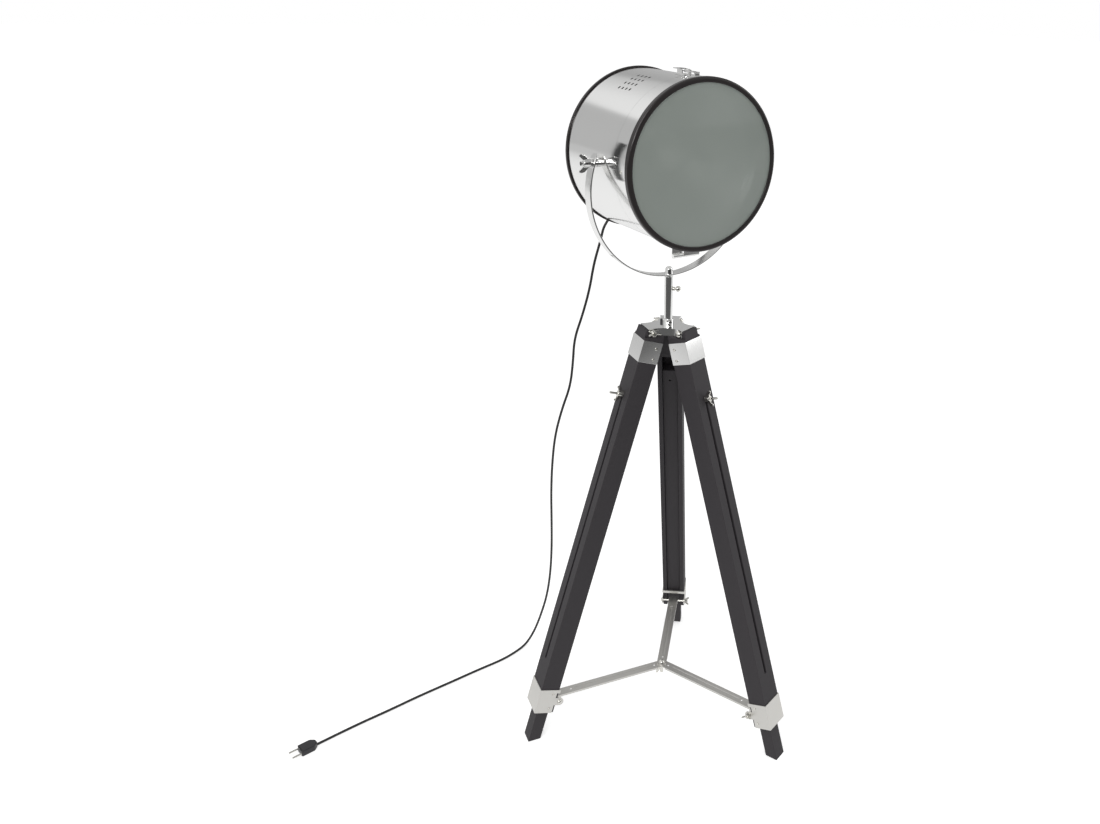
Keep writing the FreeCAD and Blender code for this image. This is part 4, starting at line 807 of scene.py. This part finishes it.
class LAMP_OT_fittings(bpy.types.Operator):
    """Make the hinge, the latch and the switch"""
    bl_idname = "lamp.fittings"
    bl_label = "Hinge, latch and switch"

    def execute(self, context):
        jobs = [("hinge_knuckle", "hinge_on_drum", 0.4, "chrome"), ("hinge_leaf", "hinge_on_door", 0.4, "chrome"),
                ("latch_plate", "latch_base", 0.35, "chrome"), ("catch_plate", "latch_catch", 0.35, "chrome"),
                ("latch_tongue", "latch_lever", 0.3, "chrome"), ("latch_wire", "latch_bail", 0.3, "chrome"),
                ("switch_cup", "switch_housing", 0.9, "black_plastic"), ("switch_key", "switch_rocker", 0.5, "black_plastic")]
        for name, node, width, slot in jobs:
            dress(soften(copy_of(name, node), width * MM), body_of(node), slot, node)
        return {"FINISHED"}


def along_cord(distance):
    """The frame at a distance from the tilt axis on the line through the strain relief."""
    facing = TO_GLAND.to_track_quat("Z", "Y").to_matrix().to_4x4()
    return Matrix.Translation(PIVOT + TO_GLAND * distance * MM) @ facing


class LAMP_OT_cord(bpy.types.Operator):
    """Lay the cord with its strain relief and plug"""
    bl_idname = "lamp.cord"
    bl_label = "Cord"

    def execute(self, context):
        gland = GLAND.length / MM
        root, joint = gland + 2, gland + 34
        first = PIVOT + TO_GLAND * joint * MM
        second = first + TO_GLAND * 34 * MM
        points = [first, second] + [Vector(p) * MM for p in CORD_ROUTE]
        line = bpy.data.curves.new("cord_line", "CURVE")
        line.dimensions = "3D"
        spline = line.splines.new("NURBS")
        spline.points.add(len(points) - 1)
        for entry, point in zip(spline.points, points):
            entry.co = (*point, 1)
        spline.order_u = 3
        spline.use_endpoint_u = True
        spline.resolution_u = 10
        line.bevel_depth = shape().cord_diameter / 2
        line.bevel_resolution = 5
        line.use_fill_caps = True
        cord = bpy.data.objects.new("cord_flex", line)
        bpy.context.scene.collection.objects.link(cord)
        line.materials.append(bpy.data.materials["cord_black"])
        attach(cord, "stand")
        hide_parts("cord_drop")
        stub = lathe("cord_stub", [(0, 0), (2.75, 0), (2.75, 9.95), (0, 9.95)], 28, place=along_cord(gland + 24))
        dress(stub, "head", "cord_black", "cord_top")
        boot = [(0, 0), (6.5, 0)]
        for k in range(6):
            wide = 6.4 - 0.42 * k
            boot += [(wide, 1.2 + 3.3 * k), (wide - 0.2, 3.0 + 3.3 * k), (wide - 1.0, 3.4 + 3.3 * k), (wide - 1.0, 4.1 + 3.3 * k)]
        boot += [(4, 21.4), (3.4, 22), (0, 22)]
        relief = lathe("relief_boot", boot, 48, place=along_cord(root))
        foot = lathe("relief_foot", [(0, 0), (9, 0), (9, 4.6)] + arc(7.6, 4.6, 1.4, 0, 90, 4) + [(0, 6)], 48,
                     place=HEAD @ Matrix.Translation((-0.036, -0.120, -0.130)) @ Matrix.Rotation(math.pi, 4, "X"))
        only(relief, foot)
        bpy.ops.object.join()
        dress(relief, "head", "black_plastic", "strain_relief")
        plug = dress(soften(copy_of("plug_shell", "plug_body"), 2.4 * MM, 4), "stand", "black_plastic", "plug_body")
        pins = dress(soften(copy_of("plug_prongs", "plug_pins"), 0.5 * MM), "stand", "bright_steel", "plug_pins")
        return {"FINISHED"}


# ---------------------------------------------------------------- stage

def ramp_node(tree, source, stops, interpolation="LINEAR"):
    """A grey ramp from pairs of place and level."""
    made = tree.nodes.new("ShaderNodeValToRGB")
    made.color_ramp.interpolation = interpolation
    band = made.color_ramp.elements
    while len(band) < len(stops):
        band.new(0.5)
    for element, (place, level) in zip(band, stops):
        element.position = place
        element.color = (level, level, level, 1)
    tree.links.new(source, made.inputs[0])
    return made.outputs["Color"]


def studio_world():
    """Pale surroundings: plain white to the camera, soft bright and grey walls to polished metal."""
    world = bpy.data.worlds.new("Studio")
    bpy.context.scene.world = world
    world.use_nodes = True
    tree = world.node_tree
    tree.nodes.clear()
    way = add(tree, "TexCoord").outputs["Generated"]
    parts = add(tree, "SeparateXYZ", (), {0: way})
    turn = add(tree, "Math", (), {0: parts.outputs["X"], 1: parts.outputs["Y"]}, operation="ARCTAN2")
    round_part = add(tree, "Math", {1: 1 / FULL, 2: 0.5}, {0: turn.outputs[0]}, operation="MULTIPLY_ADD")
    walls = ramp_node(tree, round_part.outputs[0],
                      [(0.0, 0.04), (0.165, 0.04), (0.19, 0.85), (0.27, 0.95), (0.33, 0.62), (0.40, 0.52), (0.47, 0.48),
                       (0.56, 0.40), (0.60, 0.50), (0.66, 0.52), (0.70, 0.10), (0.76, 0.10), (0.78, 0.80), (0.90, 0.72), (0.93, 0.04)])
    upper = ramp_node(tree, round_part.outputs[0],
                      [(0.0, 0.30), (0.15, 0.34), (0.22, 0.86), (0.40, 0.96), (0.49, 0.84), (0.58, 0.42), (0.72, 0.20),
                       (0.80, 0.66), (0.95, 0.34)])
    height = ramp_node(tree, parts.outputs["Z"], [(0.0, 0.0), (0.40, 0.0), (0.425, 1.0), (1.0, 1.0)])
    mixed = add(tree, "Mix", (), {0: height, 6: walls, 7: upper}, data_type="RGBA")
    rays = add(tree, "LightPath")
    shiny = add(tree, "Background", {"Strength": 1.0}, {"Color": mixed.outputs[2]})
    plain = add(tree, "Background", {"Color": (1, 1, 1, 1), "Strength": studio().ambient})
    white = add(tree, "Background", {"Color": (1, 1, 1, 1), "Strength": 1.0})
    first = add(tree, "MixShader", (), {0: rays.outputs["Is Glossy Ray"], 1: plain.outputs[0], 2: shiny.outputs[0]})
    last = add(tree, "MixShader", (), {0: rays.outputs["Is Camera Ray"], 1: first.outputs[0], 2: white.outputs[0]})
    end = add(tree, "OutputWorld")
    tree.links.new(last.outputs[0], end.inputs["Surface"])


def floor_material():
    """Pale floor, lifted to white for the camera, that falls dark behind the camera in reflections."""
    material, tree, shader, place = blank("studio_floor", studio().floor, 0.0, Roughness=0.8)
    rays = add(tree, "LightPath")
    level = add(tree, "Math", {1: studio().floor_glow}, {0: rays.outputs["Is Camera Ray"]}, operation="MULTIPLY")
    shader.inputs["Emission Color"].default_value = (1, 1, 1, 1)
    tree.links.new(level.outputs[0], shader.inputs["Emission Strength"])
    away = add(tree, "VectorMath", {1: (0.57, 0.82, 0)}, {0: place}, operation="DOT_PRODUCT")
    spread = add(tree, "MapRange", {1: -5.0, 2: 5.0, 3: 0.0, 4: 1.0}, {0: away.outputs["Value"]})
    tone = ramp_node(tree, spread.outputs[0], [(0.0, 0.10), (0.34, 0.12), (0.42, 0.80), (0.60, 0.98), (0.76, 0.86), (1.0, 0.58)])
    mirrored = add(tree, "Emission", {"Strength": 1.0}, {"Color": tone})
    mixed = add(tree, "MixShader", (), {0: rays.outputs["Is Glossy Ray"], 1: shader.outputs[0], 2: mirrored.outputs[0]})
    tree.links.new(mixed.outputs[0], tree.nodes["Material Output"].inputs["Surface"])
    return material


def dark_flag(eye, reach=0.16):
    """A small black card beside the lamp, which shows as a dark patch on the door's band."""
    corners = []
    for degrees, along in ((-7, -0.070), (-7, -0.100), (17, -0.100), (17, -0.070)):
        turn = math.radians(degrees)
        outwards = Vector((-math.cos(turn), 0, math.sin(turn)))
        point = PIVOT + outwards * shape().drum_radius + Vector((0, along, 0))
        sight = (point - Vector(eye)).normalized()
        corners.append(point + sight.reflect(outwards) * reach)
    mesh = bpy.data.meshes.new("dark_flag")
    mesh.from_pydata(corners, [], [(0, 1, 2, 3)])
    flag = bpy.data.objects.new("dark_flag", mesh)
    bpy.context.scene.collection.objects.link(flag)
    material = blank("flag_cloth", (0.004, 0.004, 0.004), 0.0, Roughness=1.0, Specular_IOR_Level=0.0)[0]
    mesh.materials.append(material)
    flag.visible_camera = flag.visible_diffuse = flag.visible_shadow = flag.visible_transmission = False


def softbox(name, place, target, wide, tall, power):
    light = bpy.data.lights.new(name, "AREA")
    light.shape, light.size, light.size_y, light.energy = "RECTANGLE", wide, tall, power
    lamp = bpy.data.objects.new(name, light)
    bpy.context.scene.collection.objects.link(lamp)
    lamp.location = place
    lamp.rotation_euler = (Vector(target) - Vector(place)).to_track_quat("-Z", "Y").to_euler()
    return lamp


class LAMP_OT_stage(bpy.types.Operator):
    """Set the floor, the light and the camera"""
    bl_idname = "lamp.stage"
    bl_label = "Stage"

    def execute(self, context):
        scene = context.scene
        clear_selection()
        bpy.ops.mesh.primitive_plane_add(size=60)
        floor = bpy.context.object
        floor.name = "studio_floor"
        floor.data.materials.append(floor_material())
        studio_world()
        softbox("key_light", (-2.2, -1.6, 3.0), (0, 0, 0.9), 1.6, 2.2, studio().key_power)
        softbox("side_light", (2.6, -0.6, 1.9), (0, 0, 0.8), 1.0, 2.0, studio().fill_power)
        softbox("front_light", (-1.5, -2.1, 2.0), (0, -0.1, 1.27), 0.5, 0.35, studio().front_power)
        eye = (-1.0378, -1.6656, 1.5969)
        dark_flag(eye)
        camera = bpy.data.objects.new("camera", bpy.data.cameras.new("camera"))
        scene.collection.objects.link(camera)
        right, up, ahead = (0.82742, -0.56066, 0.03213), (0.15012, 0.27595, 0.94937), (0.54114, 0.78071, -0.3125)
        camera.matrix_world = Matrix((
            (right[0], up[0], -ahead[0], eye[0]), (right[1], up[1], -ahead[1], eye[1]),
            (right[2], up[2], -ahead[2], eye[2]), (0, 0, 0, 1)))
        camera.data.lens = studio().lens
        camera.data.sensor_width = 36
        camera.data.shift_x, camera.data.shift_y = -0.15, -0.09
        camera.data.clip_start, camera.data.clip_end = 0.02, 200
        scene.camera = camera
        scene.view_settings.view_transform = "Standard"
        return {"FINISHED"}


class LAMP_OT_materials(bpy.types.Operator):
    """Build the finishes and give each shown node its own"""
    bl_idname = "lamp.materials"
    bl_label = "Finishes"

    def execute(self, context):
        build_materials()
        for entry in frame["record"]["materials"]:
            for node in entry.get("nodes", []):
                mesh = NODES[node].data
                mesh.materials.clear()
                mesh.materials.append(bpy.data.materials[entry["slot"]])
        return {"FINISHED"}


STEPS = (LAMP_OT_materials, LAMP_OT_stage, LAMP_OT_cord, LAMP_OT_drum, LAMP_OT_optics, LAMP_OT_yoke, LAMP_OT_post,
         LAMP_OT_legs, LAMP_OT_sheet_metal, LAMP_OT_wing_nuts, LAMP_OT_screws, LAMP_OT_fittings)


class LAMP_PT_panel(bpy.types.Panel):
    """The lamp's pieces and settings"""
    bl_label = "Lamp"
    bl_idname = "LAMP_PT_panel"
    bl_space_type = "VIEW_3D"
    bl_region_type = "UI"
    bl_category = "Lamp"

    def draw(self, context):
        for settings in (context.scene.lamp_finish, context.scene.lamp_shape, context.scene.lamp_studio):
            for name in settings.__annotations__:
                self.layout.prop(settings, name)
        for step in STEPS:
            self.layout.operator(step.bl_idname)


CLASSES = (LampFinish, LampShape, Studio, *STEPS, LAMP_PT_panel)


def register():
    for made in CLASSES:
        bpy.utils.register_class(made)
    bpy.types.Scene.lamp_finish = bpy.props.PointerProperty(type=LampFinish)
    bpy.types.Scene.lamp_shape = bpy.props.PointerProperty(type=LampShape)
    bpy.types.Scene.lamp_studio = bpy.props.PointerProperty(type=Studio)


def unregister():
    for name in ("lamp_finish", "lamp_shape", "lamp_studio"):
        delattr(bpy.types.Scene, name)
    for made in reversed(CLASSES):
        bpy.utils.unregister_class(made)


def main():
    register()
    for step in STEPS:
        group, name = step.bl_idname.split(".")
        getattr(getattr(bpy.ops, group), name)()


if __name__ == "__main__":
    main()
